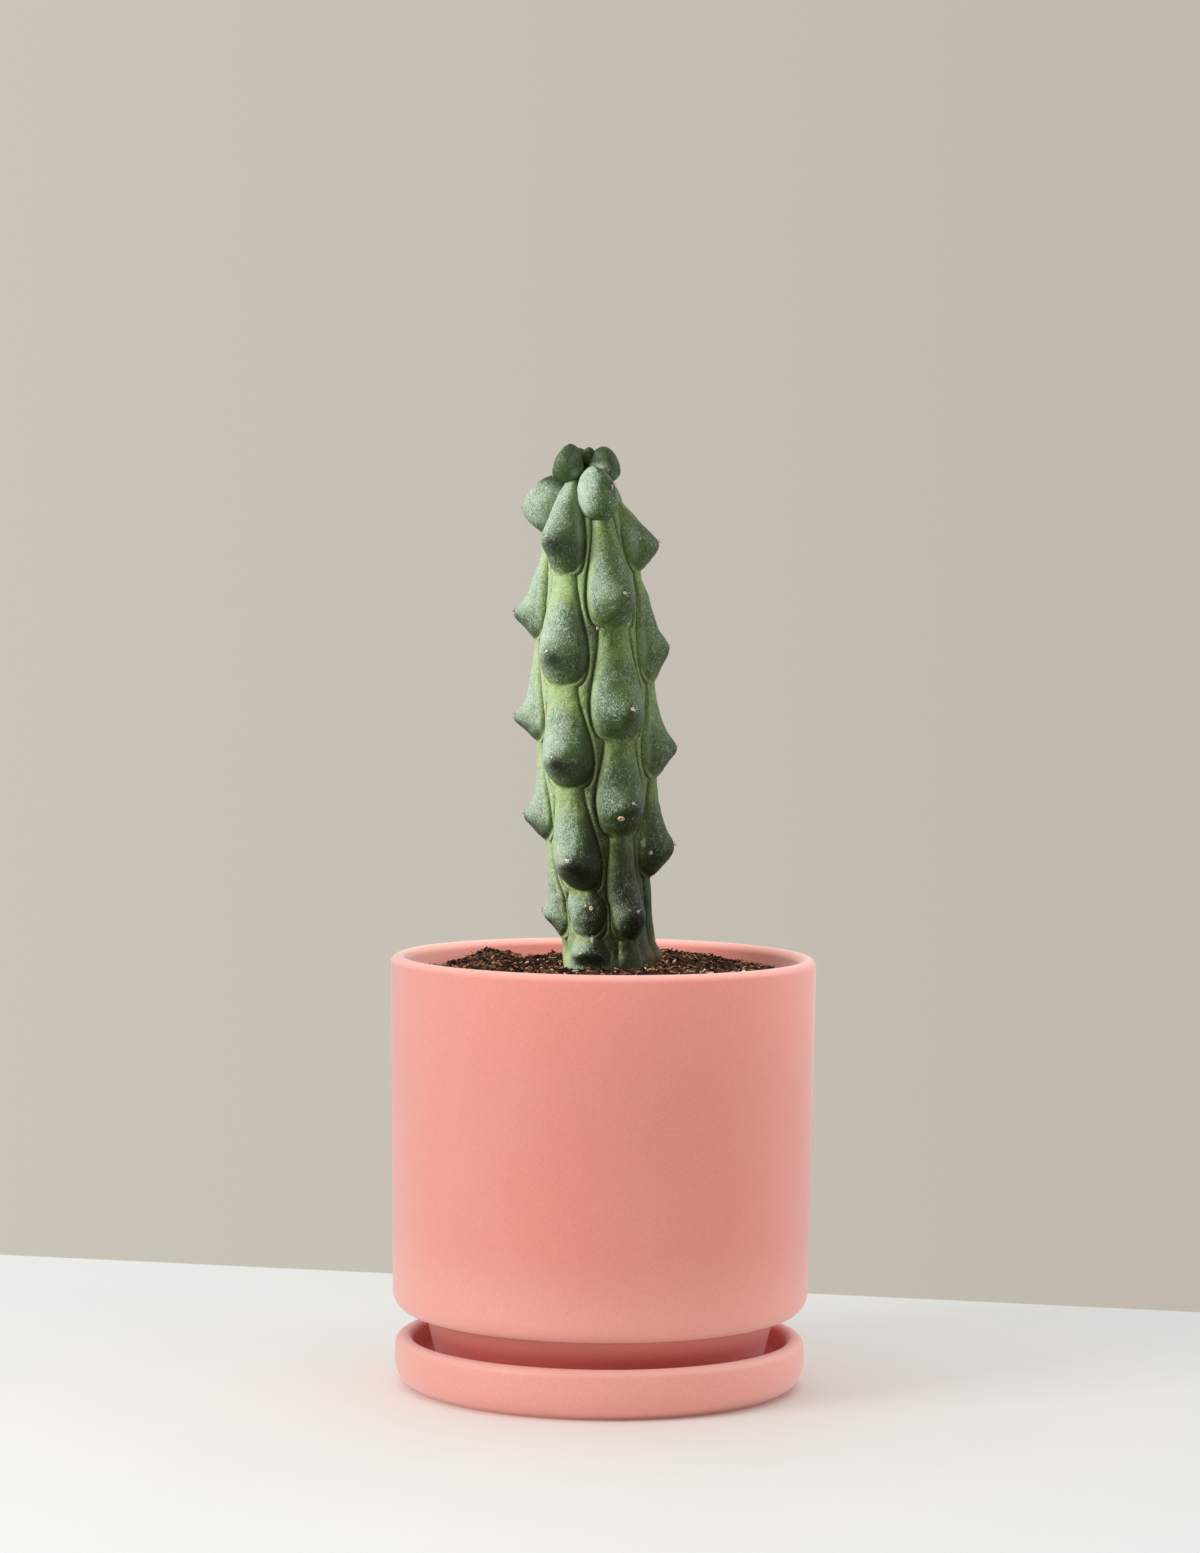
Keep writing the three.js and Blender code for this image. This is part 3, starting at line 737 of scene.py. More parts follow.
def fleck_group():
    """Irregular flecks and fine broken strokes, drawn out along one way: wax on skin, or tone on soil"""
    if "Flecks" in bpy.data.node_groups:
        return bpy.data.node_groups["Flecks"]
    inputs = {"Vector": None, "Size": 600.0, "Stretch": 0.4, "Cover": 0.5, "Softness": 0.1}
    group, given, out = new_group("Flecks", inputs, ["Mask", "Height", "Strokes"])
    place, size, softness = given["Vector"], given["Size"], given["Softness"]
    squeeze = add(group, "ShaderNodeCombineXYZ", {0: 1.0, 1: 1.0, 2: given["Stretch"]})
    drawn = add(group, "ShaderNodeVectorMath", {0: place, 1: squeeze.outputs[0]}, operation="MULTIPLY")
    fine = cloud(group, drawn.outputs[0], size, 4, 0.7)
    level = minus(group, 0.78, times(group, given["Cover"], 0.5))
    mask = spread(group, fine, minus(group, level, softness), plus(group, level, softness))
    lines = cloud(group, drawn.outputs[0], times(group, size, 0.34), 2, 0.5)
    off_line = calc(group, "ABSOLUTE", minus(group, lines, 0.5))
    patches = cloud(group, place, times(group, size, 0.12), 2, 0.5)
    strokes = times(group, spread(group, off_line, 0.01, 0.05, 1.0, 0.0), spread(group, patches, 0.42, 0.56))
    strokes = times(group, strokes, spread(group, fine, 0.44, 0.54))
    fill(group, out, {"Mask": mask, "Height": fine, "Strokes": strokes})
    return group


def place_group(tree, group, inputs):
    return add(tree, "ShaderNodeGroup", inputs, node_tree=group).outputs


def new_material(name):
    """A fresh material: its tree, its shader and its Object coordinates"""
    material = bpy.data.materials.new(name)
    material.use_nodes = True
    tree = material.node_tree
    tree.nodes.clear()
    shader = tree.nodes.new("ShaderNodeBsdfPrincipled")
    out = tree.nodes.new("ShaderNodeOutputMaterial")
    tree.links.new(shader.outputs[0], out.inputs[0])
    place = tree.nodes.new("ShaderNodeTexCoord").outputs["Object"]
    return material, tree, shader, place


def raise_bump(tree, shader, height, distance):
    bump = add(tree, "ShaderNodeBump", {"Height": height, "Distance": distance, "Strength": 1.0})
    tree.links.new(bump.outputs[0], shader.inputs["Normal"])


def attribute(tree, name):
    return add(tree, "ShaderNodeAttribute", attribute_name=name)


def ceramic_material(name, settings, seed, lift, rim_height, shade_below, shade_within):
    """Matt coral ceramic, in mm: soft clouds, fine grain, rare pits, painted light on the left and low down,
    a painted highlight at the rim, and painted shade below one height and within one distance of the axis"""
    material, tree, shader, place = new_material(name)

    def fade(value, low, high, at_low=0.0, at_high=1.0):
        return spread(tree, value, low * MM, high * MM, at_low, at_high)

    shift = add(tree, "ShaderNodeMapping", {"Vector": place, "Location": (seed, seed * 0.7, 0)})
    sizes = {"Vector": shift.outputs[0], "Grain size": 1900.0, "Cloud size": 28.0}
    grain = place_group(tree, grain_group(), sizes)
    x, y, z = add(tree, "ShaderNodeSeparateXYZ", {0: place}).outputs
    # Painted light: paler on the left, where the key light falls, and low down, lit from the floor
    paler = plus(tree, fade(x, *PAINTED_LIGHT_LEFT), fade(z, *PAINTED_LIGHT_SKIRT))
    # The lift pales a whole piece: on the saucer it is painted light, as if lit from the floor
    clouds = calc(tree, "MULTIPLY_ADD", grain["Clouds"], PALE_CLOUDS, lift + PALE_ALL_OVER)
    tone = blend(tree, plus(tree, clouds, paler, clamp=True), settings.body, settings.pale)
    tone = brightened(tree, tone, spread(tree, grain["Height"], 0.35, 0.62, 0.96, 1.035))
    tone = blend(tree, times(tree, grain["Pits"], 0.35), tone, darker(settings.body, 0.55))

    # Painted shade: deeper under the pot's skirt and on the saucer's floor round the foot
    shade = fade(z, shade_below - FOOT_SHADE_DEPTHS[0], shade_below - FOOT_SHADE_DEPTHS[1], 1.0, 0.5)
    foot = times(tree, shade, fade(z, shade_below - SKIRT_EDGE[0], shade_below + SKIRT_EDGE[1], 1.0, 0.0))
    out = calc(tree, "SQRT", plus(tree, times(tree, x, x), times(tree, y, y)))
    inside = fade(out, shade_within - INSIDE_EDGE, shade_within, 1.0, 0.0)
    tone = blend(tree, calc(tree, "MAXIMUM", foot, inside), tone, settings.foot_shade)
    # Painted highlight: paler in a band under the rim
    rim = fade(z, rim_height - RIM_BAND, rim_height)
    tone = blend(tree, times(tree, rim, 0.55), tone, settings.rim)

    rough = spread(tree, grain["Clouds"], 0.0, 1.0, settings.roughness + 0.06, settings.roughness - 0.05)
    fill(tree, shader, {"Base Color": tone, "Roughness": rough, "Specular IOR Level": 0.5})
    fill(tree, shader, {"Sheen Weight": 0.5, "Sheen Roughness": 0.45})
    raise_bump(tree, shader, grain["Height"], settings.grain * 2)
    return material


def soil_material(settings):
    """Damp, crumbly soil with pale flecks"""
    material, tree, shader, place = new_material("soil_damp")
    sizes = {"Vector": place, "Size": 420.0, "Stretch": 1.0, "Cover": 0.34, "Softness": 0.05}
    flecks = place_group(tree, fleck_group(), sizes)
    dry = spread(tree, cloud(tree, place, 160.0, 4), 0.4, 0.7)
    tone = blend(tree, dry, settings.dark, settings.brown)
    tone = blend(tree, times(tree, flecks["Mask"], 0.5), tone, settings.tan)
    fill(tree, shader, {"Base Color": tone, "Roughness": 0.9, "Specular IOR Level": 0.25})
    raise_bump(tree, shader, flecks["Height"], 0.8 * MM)
    return material


def crumb_material(name, settings):
    """Crumbs, chips and fibres: each has its own tone, from damp brown to straw"""
    material, tree, shader, place = new_material(name)
    shade = attribute(tree, "shade").outputs["Fac"]
    tone = blend(tree, spread(tree, shade, 0.1, 0.55), settings.dark, settings.brown)
    tone = blend(tree, spread(tree, shade, 0.62, 0.9), tone, settings.tan)
    tone = blend(tree, spread(tree, shade, 0.9, 1.0), tone, tint(226, 205, 178))
    sizes = {"Vector": place, "Size": 1400.0, "Stretch": 1.0, "Cover": 0.5, "Softness": 0.15}
    flecks = place_group(tree, fleck_group(), sizes)
    tone = brightened(tree, tone, spread(tree, flecks["Mask"], 0.0, 1.0, 0.75, 1.2))
    rough = spread(tree, shade, 0.0, 1.0, 0.95, 0.8)
    fill(tree, shader, {"Base Color": tone, "Roughness": rough, "Specular IOR Level": 0.12})
    raise_bump(tree, shader, flecks["Height"], 0.3 * MM)
    return material


def skin_material(settings):
    """Green skin: yellow-green necks, dark tips and creases, and a pale waxy bloom worn into flecks, all
    laid with painted light and shade
    """
    material, tree, shader, place = new_material("cactus_skin")
    zones, sides = attribute(tree, "zones"), attribute(tree, "sides")
    tip, dome, crease = add(tree, "ShaderNodeSeparateColor", {0: zones.outputs["Color"]}).outputs
    painted_light, cork, scrape = add(tree, "ShaderNodeSeparateColor", {0: sides.outputs["Color"]}).outputs
    rim, painted_shade_and_young_skin = zones.outputs["Alpha"], sides.outputs["Alpha"]
    wide = cloud(tree, place, 90.0, 4, 0.6)
    fine = cloud(tree, place, 1100.0, 3, 0.65)

    # Green of the flanks and necks, each neck lit or shaded by the side it faces: painted light and shade.
    # Darker at the tips (painted shade over darker bare skin), in the creases (painted shade), where painted
    # shade falls on the lower stem and valleys, and on the young skin at the crown's top
    necks = spread(tree, dome, 0.02, 0.5, 1.0, 0.0)
    neck = blend(tree, spread(tree, painted_light, 0.15, 0.85), settings.neck, settings.lit_neck)
    tone = blend(tree, times(tree, necks, 0.85), settings.flank, neck)
    mottle = plus(tree, times(tree, wide, 0.5), times(tree, fine, 0.5))
    tone = brightened(tree, tone, spread(tree, mottle, 0.37, 0.63, 0.64, 1.34))
    dark = times(tree, tip, spread(tree, fine, 0.3, 0.6, 0.75, 1.05), clamp=True)
    tone = blend(tree, dark, tone, settings.nipple)
    tone = blend(tree, times(tree, crease, 0.75), tone, settings.crease)
    tone = brightened(tree, tone, spread(tree, painted_shade_and_young_skin, 0.0, 1.0, 1.0, 0.24))

    # Waxy bloom: fine flecks over a thin veil, thicker towards the light and thinner in the shade, which is
    # painted light and shade; and a pale line beside each crease, which is a painted highlight
    amount = times(tree, plus(tree, times(tree, painted_light, 0.9), 0.1), settings.bloom_amount)
    sizes = {"Vector": place, "Size": 2900.0, "Stretch": 0.55, "Cover": amount, "Softness": 0.07}
    wax = place_group(tree, fleck_group(), sizes)
    veil = spread(tree, plus(tree, painted_light, times(tree, wide, 0.4)), 0.6, 1.3)
    cover = plus(tree, times(tree, wax["Mask"], 0.62), times(tree, veil, 0.32))
    bare = times(tree, calc(tree, "MAXIMUM", tip, crease), 0.92)
    cover = times(tree, cover, minus(tree, 1.0, bare))
    cover = times(tree, cover, spread(tree, painted_shade_and_young_skin, 0.0, 1.0, 1.0, 0.22))
    cover = plus(tree, cover, times(tree, rim, spread(tree, painted_shade_and_young_skin, 0.2, 0.7, 0.3, 0.0)), clamp=True)
    bloom = blend(tree, times(tree, necks, 0.7), settings.bloom, settings.neck_bloom)
    tone = blend(tree, cover, tone, bloom)

    # Short bright strokes in the bloom, most on the domes that face the light: painted light
    frost = times(tree, wax["Strokes"], plus(tree, times(tree, painted_light, 0.75), 0.25))
    frost = times(tree, frost, spread(tree, dome, 0.1, 0.6, 0.45, 1.0))
    frost = times(tree, frost, minus(tree, 1.0, times(tree, tip, 0.6)))
    frost = times(tree, frost, spread(tree, painted_shade_and_young_skin, 0.0, 1.0, 0.62, 0.32))
    tone = blend(tree, frost, tone, tint(202, 216, 204))

    # Scrapes, and cork at the root
    sizes = {"Vector": place, "Size": 210.0, "Stretch": 0.7, "Cover": 0.2, "Softness": 0.025}
    scraped = times(tree, place_group(tree, fleck_group(), sizes)["Mask"], scrape)
    tone = blend(tree, times(tree, scraped, 0.6), tone, tint(206, 216, 204))
    worn = times(tree, cork, spread(tree, cloud(tree, place, 300.0, 4), 0.36, 0.56), clamp=True)
    tone = blend(tree, worn, tone, settings.cork)

    rough = spread(tree, cover, 0.0, 1.0, settings.roughness - 0.08, settings.roughness + 0.16)
    fill(tree, shader, {"Base Color": tone, "Roughness": rough, "Specular IOR Level": 0.22})
    relief = plus(tree, times(tree, wax["Height"], 0.6), times(tree, fine, 0.4))
    raise_bump(tree, shader, relief, 0.5 * MM)
    return material


def wool_material():
    """Short felt of an areole, cream, with grey painted shade in its hollows"""
    material, tree, shader, place = new_material("areole_wool")
    fluff = cloud(tree, place, 2600.0, 3, 0.7)
    tone = blend(tree, spread(tree, fluff, 0.35, 0.62), tint(150, 140, 122), tint(240, 236, 226))
    fill(tree, shader, {"Base Color": tone, "Roughness": 0.95, "Specular IOR Level": 0.15})
    raise_bump(tree, shader, fluff, 0.3 * MM)
    return material


def spine_material():
    """Stiff spines: dark brown, with paler ones among them"""
    material, tree, shader, place = new_material("spine_horn")
    shade = attribute(tree, "shade").outputs["Fac"]
    streak = cloud(tree, place, 1900.0, 2)
    tone = blend(tree, spread(tree, shade, 0.35, 0.75), tint(36, 24, 20), tint(214, 200, 178))
    tone = brightened(tree, tone, spread(tree, streak, 0.3, 0.7, 0.8, 1.2))
    fill(tree, shader, {"Base Color": tone, "Roughness": spread(tree, streak, 0.3, 0.7, 0.38, 0.55)})
    return material


def scar_material():
    """Dry scars: a tan disc with a darker middle"""
    material, tree, shader, place = new_material("skin_scar")
    shade = attribute(tree, "shade").outputs["Fac"]
    grain = cloud(tree, place, 1500.0, 3)
    tone = blend(tree, spread(tree, shade, 0.1, 0.5), tint(112, 70, 48), tint(214, 184, 152))
    tone = brightened(tree, tone, spread(tree, grain, 0.3, 0.7, 0.85, 1.12))
    fill(tree, shader, {"Base Color": tone, "Roughness": spread(tree, grain, 0.3, 0.7, 0.6, 0.8)})
    raise_bump(tree, shader, grain, 0.2 * MM)
    return material


# Soil


def seeded(seed):
    """The same even random draw each time, from 0 to 1"""
    state = seed
    while True:
        state = (state * 1664525 + 1013904223) % 2**32
        yield state / 2**32


def soil_lumps():
    """Places, widths and heights of the soil's heaps and lumps"""
    draw = seeded(SOIL_SEED)
    lumps = list(SOIL_HEAPS)
    for _ in range(SOIL_LUMPS):
        bearing = next(draw) * math.tau
        out = POT_RADIUS * math.sqrt(next(draw))
        width = SOIL_LUMP_SIZE * (0.5 + next(draw))
        height = width * SOIL_LUMP_SLOPE * (1.7 * next(draw) - 0.75)
        lumps.append((out * math.cos(bearing), out * math.sin(bearing), width, height))
    return np.array(lumps)


def soil_heights(lumps, x, y):
    """Heights of the soil at arrays of places"""
    height = SOIL_EDGE + SOIL_MOUND * (1 - (x**2 + y**2) / POT_RADIUS**2)
    for lump_x, lump_y, width, tall in lumps:
        height = height + tall * np.exp(-((x - lump_x) ** 2 + (y - lump_y) ** 2) / width**2)
    stem_x = along(STEM_LINE, SOIL_LINE)
    near = 1 - smooth_step_all(np.hypot(x - stem_x, y), *SOIL_LEVEL_RING)
    return np.minimum(height, height + (SOIL_LINE - SOIL_UNDER_LINE - height) * near)


def rough_of(places, size, seed):
    """Noise at places in mm, for lumps of about this size"""
    shift = Vector((seed, seed, seed))
    return np.array([noise.fractal(Vector(p) / size + shift, 0.6, 2.2, 3) for p in places])


def drawn_from(draw, least, more, power):
    """A value by chance from the least one up, and mostly near it where the power is high"""
    return least + more * draw.random() ** power


def shape_of(obj):
    """Corners and faces of an object whose faces all have as many sides"""
    return corners_of(obj.data), np.array([list(face.vertices) for face in obj.data.polygons])


class CACTUS_OT_soil(bpy.types.Operator):
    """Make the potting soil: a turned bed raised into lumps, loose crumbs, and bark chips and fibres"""

    bl_idname = "cactus.make_soil"
    bl_label = "Make Soil"

    def execute(self, context):
        settings = context.scene.cactus_soil
        lumps = soil_lumps()
        self.make_bed(settings, lumps)
        crumb = crumb_material("soil_crumb", settings)
        fibre = crumb_material("soil_fibre", settings)
        self.strew("soil_crumbs", CRUMBS, self.seed_crumb, settings.crumbs, lumps, crumb)
        self.strew("soil_fibres", FIBRES, self.seed_chip, settings.fibres, lumps, fibre)
        return {"FINISHED"}

    def make_bed(self, settings, lumps):
        """Turns the soil's outline with many rings over its top, and raises them to the lumps"""
        rings = [(SOIL_WALL_RADIUS * (1 - i / SOIL_RINGS), SOIL_EDGE, 0) for i in range(SOIL_RINGS + 1)]
        bed = turned(SOIL_OUTLINE + rings, SOIL_SIDES, closed=False)
        places = corners_of(bed.data) / MM
        top = places[:, 2] > SOIL_EDGE - 0.1
        x, y = places[top, 0], places[top, 1]
        flat = np.column_stack([x, y, np.zeros(len(x))])
        rough = sum(tall * rough_of(flat, size, seed) for tall, size, seed in SOIL_ROUGHNESS)
        places[top, 2] = soil_heights(lumps, x, y) + rough - SOIL_SINK
        move_corners(bed.data, places * MM)
        finish_piece(bed, "soil_bed", soil_material(settings), "soil", ["soil"])

    def seed_crumb(self, number):
        """A small, flat, uneven ball"""
        deselect()
        bpy.ops.mesh.primitive_ico_sphere_add(subdivisions=1, radius=0.5)
        crumb = bpy.context.object
        bpy.ops.object.mode_set(mode="EDIT")
        bpy.ops.transform.resize(value=CRUMBS.proportions)
        bpy.ops.transform.vertex_random(offset=CRUMBS.unevenness, seed=number + 1)
        bpy.ops.object.mode_set(mode="OBJECT")
        return crumb

    def seed_chip(self, number):
        """A thin, crooked splinter"""
        deselect()
        bpy.ops.mesh.primitive_cube_add(size=1)
        chip = bpy.context.object
        bpy.ops.object.mode_set(mode="EDIT")
        bpy.ops.transform.resize(value=FIBRES.proportions)
        cut_lengthways(chip, 0)
        bpy.ops.mesh.select_all(action="SELECT")
        bpy.ops.transform.vertex_random(offset=FIBRES.unevenness, seed=number + 5)
        bpy.ops.mesh.quads_convert_to_tris()
        bpy.ops.object.mode_set(mode="OBJECT")
        return chip

    def strew(self, name, kind, make, count, lumps, material):
        """Makes a few seed shapes, and one piece of many copies of them, each turned, sized and toned by
        chance, in the last shape's object"""
        shapes = []
        for number in range(kind.shapes):
            made = make(number)
            shapes.append(shape_of(made))
            if number < kind.shapes - 1:
                bpy.data.objects.remove(made)
        draw = random.Random(kind.seed)
        corners, faces, tones, start = [], [], [], 0
        for x, y, height in self.loose_spots(draw, count, lumps):
            shape, links = shapes[draw.randrange(len(shapes))]
            size = drawn_from(draw, *kind.size)
            slack = min(1, max(0.2, (LOOSE_WALL - math.hypot(x, y)) / size))
            turn = Quaternion((0, 0, 1), draw.random() * math.tau)
            for axis in ((1, 0, 0), (0, 1, 0)):
                turn = turn @ Quaternion(axis, (draw.random() - 0.5) * kind.tilt)
            place = (x, y, height + kind.lift * size)
            corners.append(shape @ np.array(turn.to_matrix()).T * size * slack + place)
            faces.append(links + start)
            start += len(shape)
            tones.append(np.full(len(shape), drawn_from(draw, *kind.tone)))
        fill_mesh(made.data, np.concatenate(corners) * MM, np.concatenate(faces).tolist(), tones)
        finish_piece(made, name, material, "soil")

    def loose_spots(self, draw, count, lumps):
        """Places on the soil by chance, clear of the stem"""
        stem_x = along(STEM_LINE, SOIL_LINE)
        spots = []
        while len(spots) < count:
            out = LOOSE_RADIUS * math.sqrt(draw.random())
            bearing = draw.random() * math.tau
            x, y = out * math.cos(bearing), out * math.sin(bearing)
            if math.hypot(x - stem_x, y) > LOOSE_FROM_STEM:
                spots.append((x, y))
        x, y = np.transpose(spots)
        return zip(x, y, soil_heights(lumps, x, y))


# Cactus


def knob_at(rib, height):
    """The knob whose stretch of the rib holds this height, and how far the stretch goes up from its tip"""
    knobs = RIBS[rib]
    k = 0
    while k < len(knobs) - 1 and height < knobs[k].height - knobs[k].below:
        k += 1
    above = knobs[k - 1].height - knobs[k - 1].below - knobs[k].height if k else TOP_ABOVE[rib]
    return knobs[k], above


def swell(knob, above, height):
    """1 from a knob's tip, falling slowly to 0 above it and in a quarter round below it"""
    rise = height - knob.height
    if rise > 0:
        return 1 - smooth_step(rise / above, 0, 1)
    return math.sqrt(max(0, 1 - (rise / knob.below) ** 2))


def rounded(share_across):
    """A rib's section: 1 in its middle and 0 at its creases, which are at -1 and 1"""
    return np.maximum(0, 1 - np.abs(share_across) ** CREST_POWER) ** CREST_ROUNDING


def rib_bearing(rib, height):
    """Where a rib's middle lies round the stem at a height, in degrees from the front"""
    return along([(knob.height, knob.bearing) for knob in reversed(RIBS[rib])], height)


def half_width(rib, side, height):
    """Angle from a rib's middle to the crease on its left (-1) or right (+1), beside the neighbour's"""
    other = (rib + side) % len(RIBS)
    turn = 0 if other - rib == side else side * 360
    between = abs(rib_bearing(other, height) + turn - rib_bearing(rib, height))
    own, theirs = (swell(*knob_at(i, height), height) for i in (rib, other))
    gap = VALLEY_WIDTH - 2 * CREASE_WEAVE * (own + theirs - 1)
    short = max(0, VALLEY_LEAST - gap) / 2
    return (math.radians(between) - VALLEY_WIDTH) / 2 + CREASE_WEAVE * (2 * own - 1) - short


def root_flare(bearings, height):
    """The corky swelling at the stem's foot"""
    beside = np.remainder(bearings - math.radians(FLARE_BEARING) + math.pi, math.tau) - math.pi
    upright = (height - FLARE_HEIGHT) / FLARE_UPRIGHT
    return FLARE_REACH * np.exp(-((beside / FLARE_SIDEWAYS) ** 2) - upright**2)


def across_rib():
    """Places across a rib from -1 to 1, closer together towards the creases"""
    even = np.linspace(-1, 1, RIB_COLUMNS)
    return np.sign(even) * (1 - (1 - np.abs(even)) ** 1.35)


def across_valley():
    """Places across a valley from 0 to 1, closer together towards the creases"""
    even = np.linspace(0, 1, VALLEY_COLUMNS + 2)[1:-1]
    return 0.5 - 0.5 * np.cos(math.pi * (0.1 + 0.8 * even))


def in_crease(distance, full):
    """Depth of a crease from 0 to 1 at a distance from it, least where the rib is narrow"""
    return np.exp(-((distance / CREASE_WIDTH) ** 2)) * (CREASE_LEAST + (1 - CREASE_LEAST) * full)


def dark_spot(rise, sideways, drop, tall, right, wide):
    """1 at a place under and to the right of a knob's tip, away from the light, fading out over a height
    and a width: painted shade over darker bare skin
    """
    return np.exp(-(((rise + drop) / tall) ** 2) - ((sideways - right) / wide) ** 2)


Level = namedtuple("Level", "height neck valley ribbed creased")


def level_at(height):
    """What all ribs share at a height: neck and valley radius, and how far ribs and creases have grown"""
    neck = along(STEM_NECK, height)
    ribbed = smooth_step(height, SOIL_LINE, RIBS_FULL)
    creased = smooth_step(height, *CREASES_START)
    return Level(height, neck, neck - NECK_CREST * ribbed, ribbed, creased)


def side_widths(rib, across, height):
    """Half widths of a rib, for places on the left and on the right of its middle"""
    left, right = (half_width(rib, side, height) for side in (-1, 1))
    return np.where(across < 0, left, right)


def rib_part(rib, level):
    """Bearings, radii and zone values across one rib"""
    knob, above = knob_at(rib, level.height)
    rise = level.height - knob.height
    full = swell(knob, above, level.height)
    across = across_rib()
    half = side_widths(rib, across, level.height) * level.valley
    tip_half = side_widths(rib, across, knob.height) * level.valley
    sideways = across * half
    edge = (1 - np.abs(across)) * half
    inside = np.hypot(sideways / tip_half, min(0, rise) / knob.below)

    fall = rise / (NIPPLE_ABOVE if rise > 0 else NIPPLE_BELOW * knob.below)
    nipple = np.exp(-fall * fall - (sideways / NIPPLE_ACROSS) ** 2)
    dome = full * rounded(across) if rise > 0 else rounded(np.minimum(1, inside))
    shape = knob.pointed * nipple + (1 - knob.pointed) * dome
    relief = NECK_CREST * rounded(across) + (knob.reach - level.neck) * shape
    crease = in_crease(edge, full) * level.creased
    down = -rise / knob.below
    under = smooth_step(down, *FOLD_STARTS) * (1 - smooth_step(down, *FOLD_ENDS))
    fold = under * np.exp(-(((1 - inside) * knob.below / FOLD_WIDTH) ** 2))
    groove = np.maximum(CREASE_DEPTH * crease, FOLD_DEPTH * fold)
    bearings = math.radians(rib_bearing(rib, level.height)) + sideways / level.valley
    radii = level.valley + level.ribbed * (relief - groove + root_flare(bearings, level.height))

    # Painted shade under and to the right of the tip, away from the light, over darker bare skin
    core = dark_spot(rise, sideways, *TIP_CORE)
    shade = dark_spot(rise, sideways, *TIP_SHADE)
    darkness = smooth_step(knob.height, *TIPS_DARKEN) * TIP_DARKNESS[rib]
    tip = np.maximum(core, TIP_SHADE_DEPTH * shade) * darkness
    # Painted shade in the creases and in the fold under a knob, heavier to the right, away from the light
    painted_fold_shade = fold * (0.3 + 0.7 * smooth_step_all(sideways, *FOLD_SHADE))
    dark = np.maximum(0.8 * crease, 0.7 * painted_fold_shade)
    # A painted highlight beside each crease
    line_from, line_width = PALE_LINE
    pale_line = np.exp(-(((edge - line_from) / line_width) ** 2)) * full * level.creased
    return bearings, radii, np.column_stack([tip, dome, dark * level.ribbed, pale_line * level.ribbed])


def valley_part(rib, level):
    """Bearings, radii and zone values across the valley on a rib's right"""
    other = (rib + 1) % len(RIBS)
    turn = math.tau if other == 0 else 0
    height, valley = level.height, level.valley
    full, other_full = (swell(*knob_at(i, height), height) for i in (rib, other))
    middle, other_middle = (math.radians(rib_bearing(i, height)) for i in (rib, other))
    right = half_width(rib, 1, height) * valley
    other_left = half_width(other, -1, height) * valley
    gap = (other_middle + turn - middle) * valley - right - other_left

    share_on = across_valley()
    creases = in_crease(share_on * gap, full) + in_crease((1 - share_on) * gap, other_full)
    creases = creases * level.creased
    ridge = VALLEY_RISE * np.sin(math.pi * share_on)
    bearings = middle + (right + share_on * gap) / valley
    radii = valley + level.ribbed * (ridge + root_flare(bearings, height) - CREASE_DEPTH * creases)
    # Painted shade in the creases, and a painted highlight along the valley's middle
    middle_line = np.exp(-(((share_on - 0.5) * gap / VALLEY_LINE) ** 2)) * level.creased
    tones = [0.75 * creases * level.ribbed, 0.5 * middle_line * level.ribbed]
    return bearings, radii, np.column_stack([0 * creases, VALLEY_TONE + 0 * creases, *tones])


def rib_row(rib, height):
    """Bearings, radii and zone values across one rib and the valley on its right, at one height"""
    level = level_at(height)
    parts = zip(rib_part(rib, level), valley_part(rib, level))
    return tuple(np.concatenate(part) for part in parts)


def stem_heights():
    root = np.linspace(STEM_NECK[0][0], SOIL_LINE, ROOT_ROWS, endpoint=False)
    return np.concatenate([root, np.linspace(SOIL_LINE, STEM_NECK[-1][0], STEM_ROWS + 1)])


def stem_place(bearing, radius, height):
    x = along(STEM_LINE, height) + radius * math.sin(bearing)
    return Vector((x, -radius * math.cos(bearing), height))


def crown_axes(bearing, tilt, lean):
    """Across, upright and outward axes of a young knob"""
    turn = math.radians(bearing)
    across = Vector((math.cos(turn), math.sin(turn), 0))
    outward = Vector((math.sin(turn), -math.cos(turn), 0))
    outward.rotate(Quaternion(across, math.radians(tilt)))
    upright = across.cross(outward) * -1
    swing = Quaternion(outward, math.radians(lean))
    across.rotate(swing)
    upright.rotate(swing)
    return across, upright, outward


def young_places(knob, facing):
    """Places of a young knob's skin for facings (across, upright, outward), and its middle"""
    tip = np.array(knob.tip) / np.linalg.norm(knob.tip)
    narrow = np.column_stack([1 - YOUNG_TAPER * facing[:, 1]] * 3)
    narrow[:, 1] = 1
    local = facing * knob.half * narrow * (1 + knob.point * np.maximum(0, facing @ tip) ** 6)[:, None]
    for *facing_out, distance in knob.flats:
        way = np.array(facing_out) / np.linalg.norm(facing_out)
        beyond = local @ way - distance
        local = local - np.outer(0.5 * (beyond + np.hypot(beyond, FLAT_SOFTNESS)) - 0.1, way)
    centre = np.array(stem_place(math.radians(knob.bearing), knob.out, knob.height))
    return local @ np.array(crown_axes(knob.bearing, knob.tilt, knob.lean)) + centre, centre


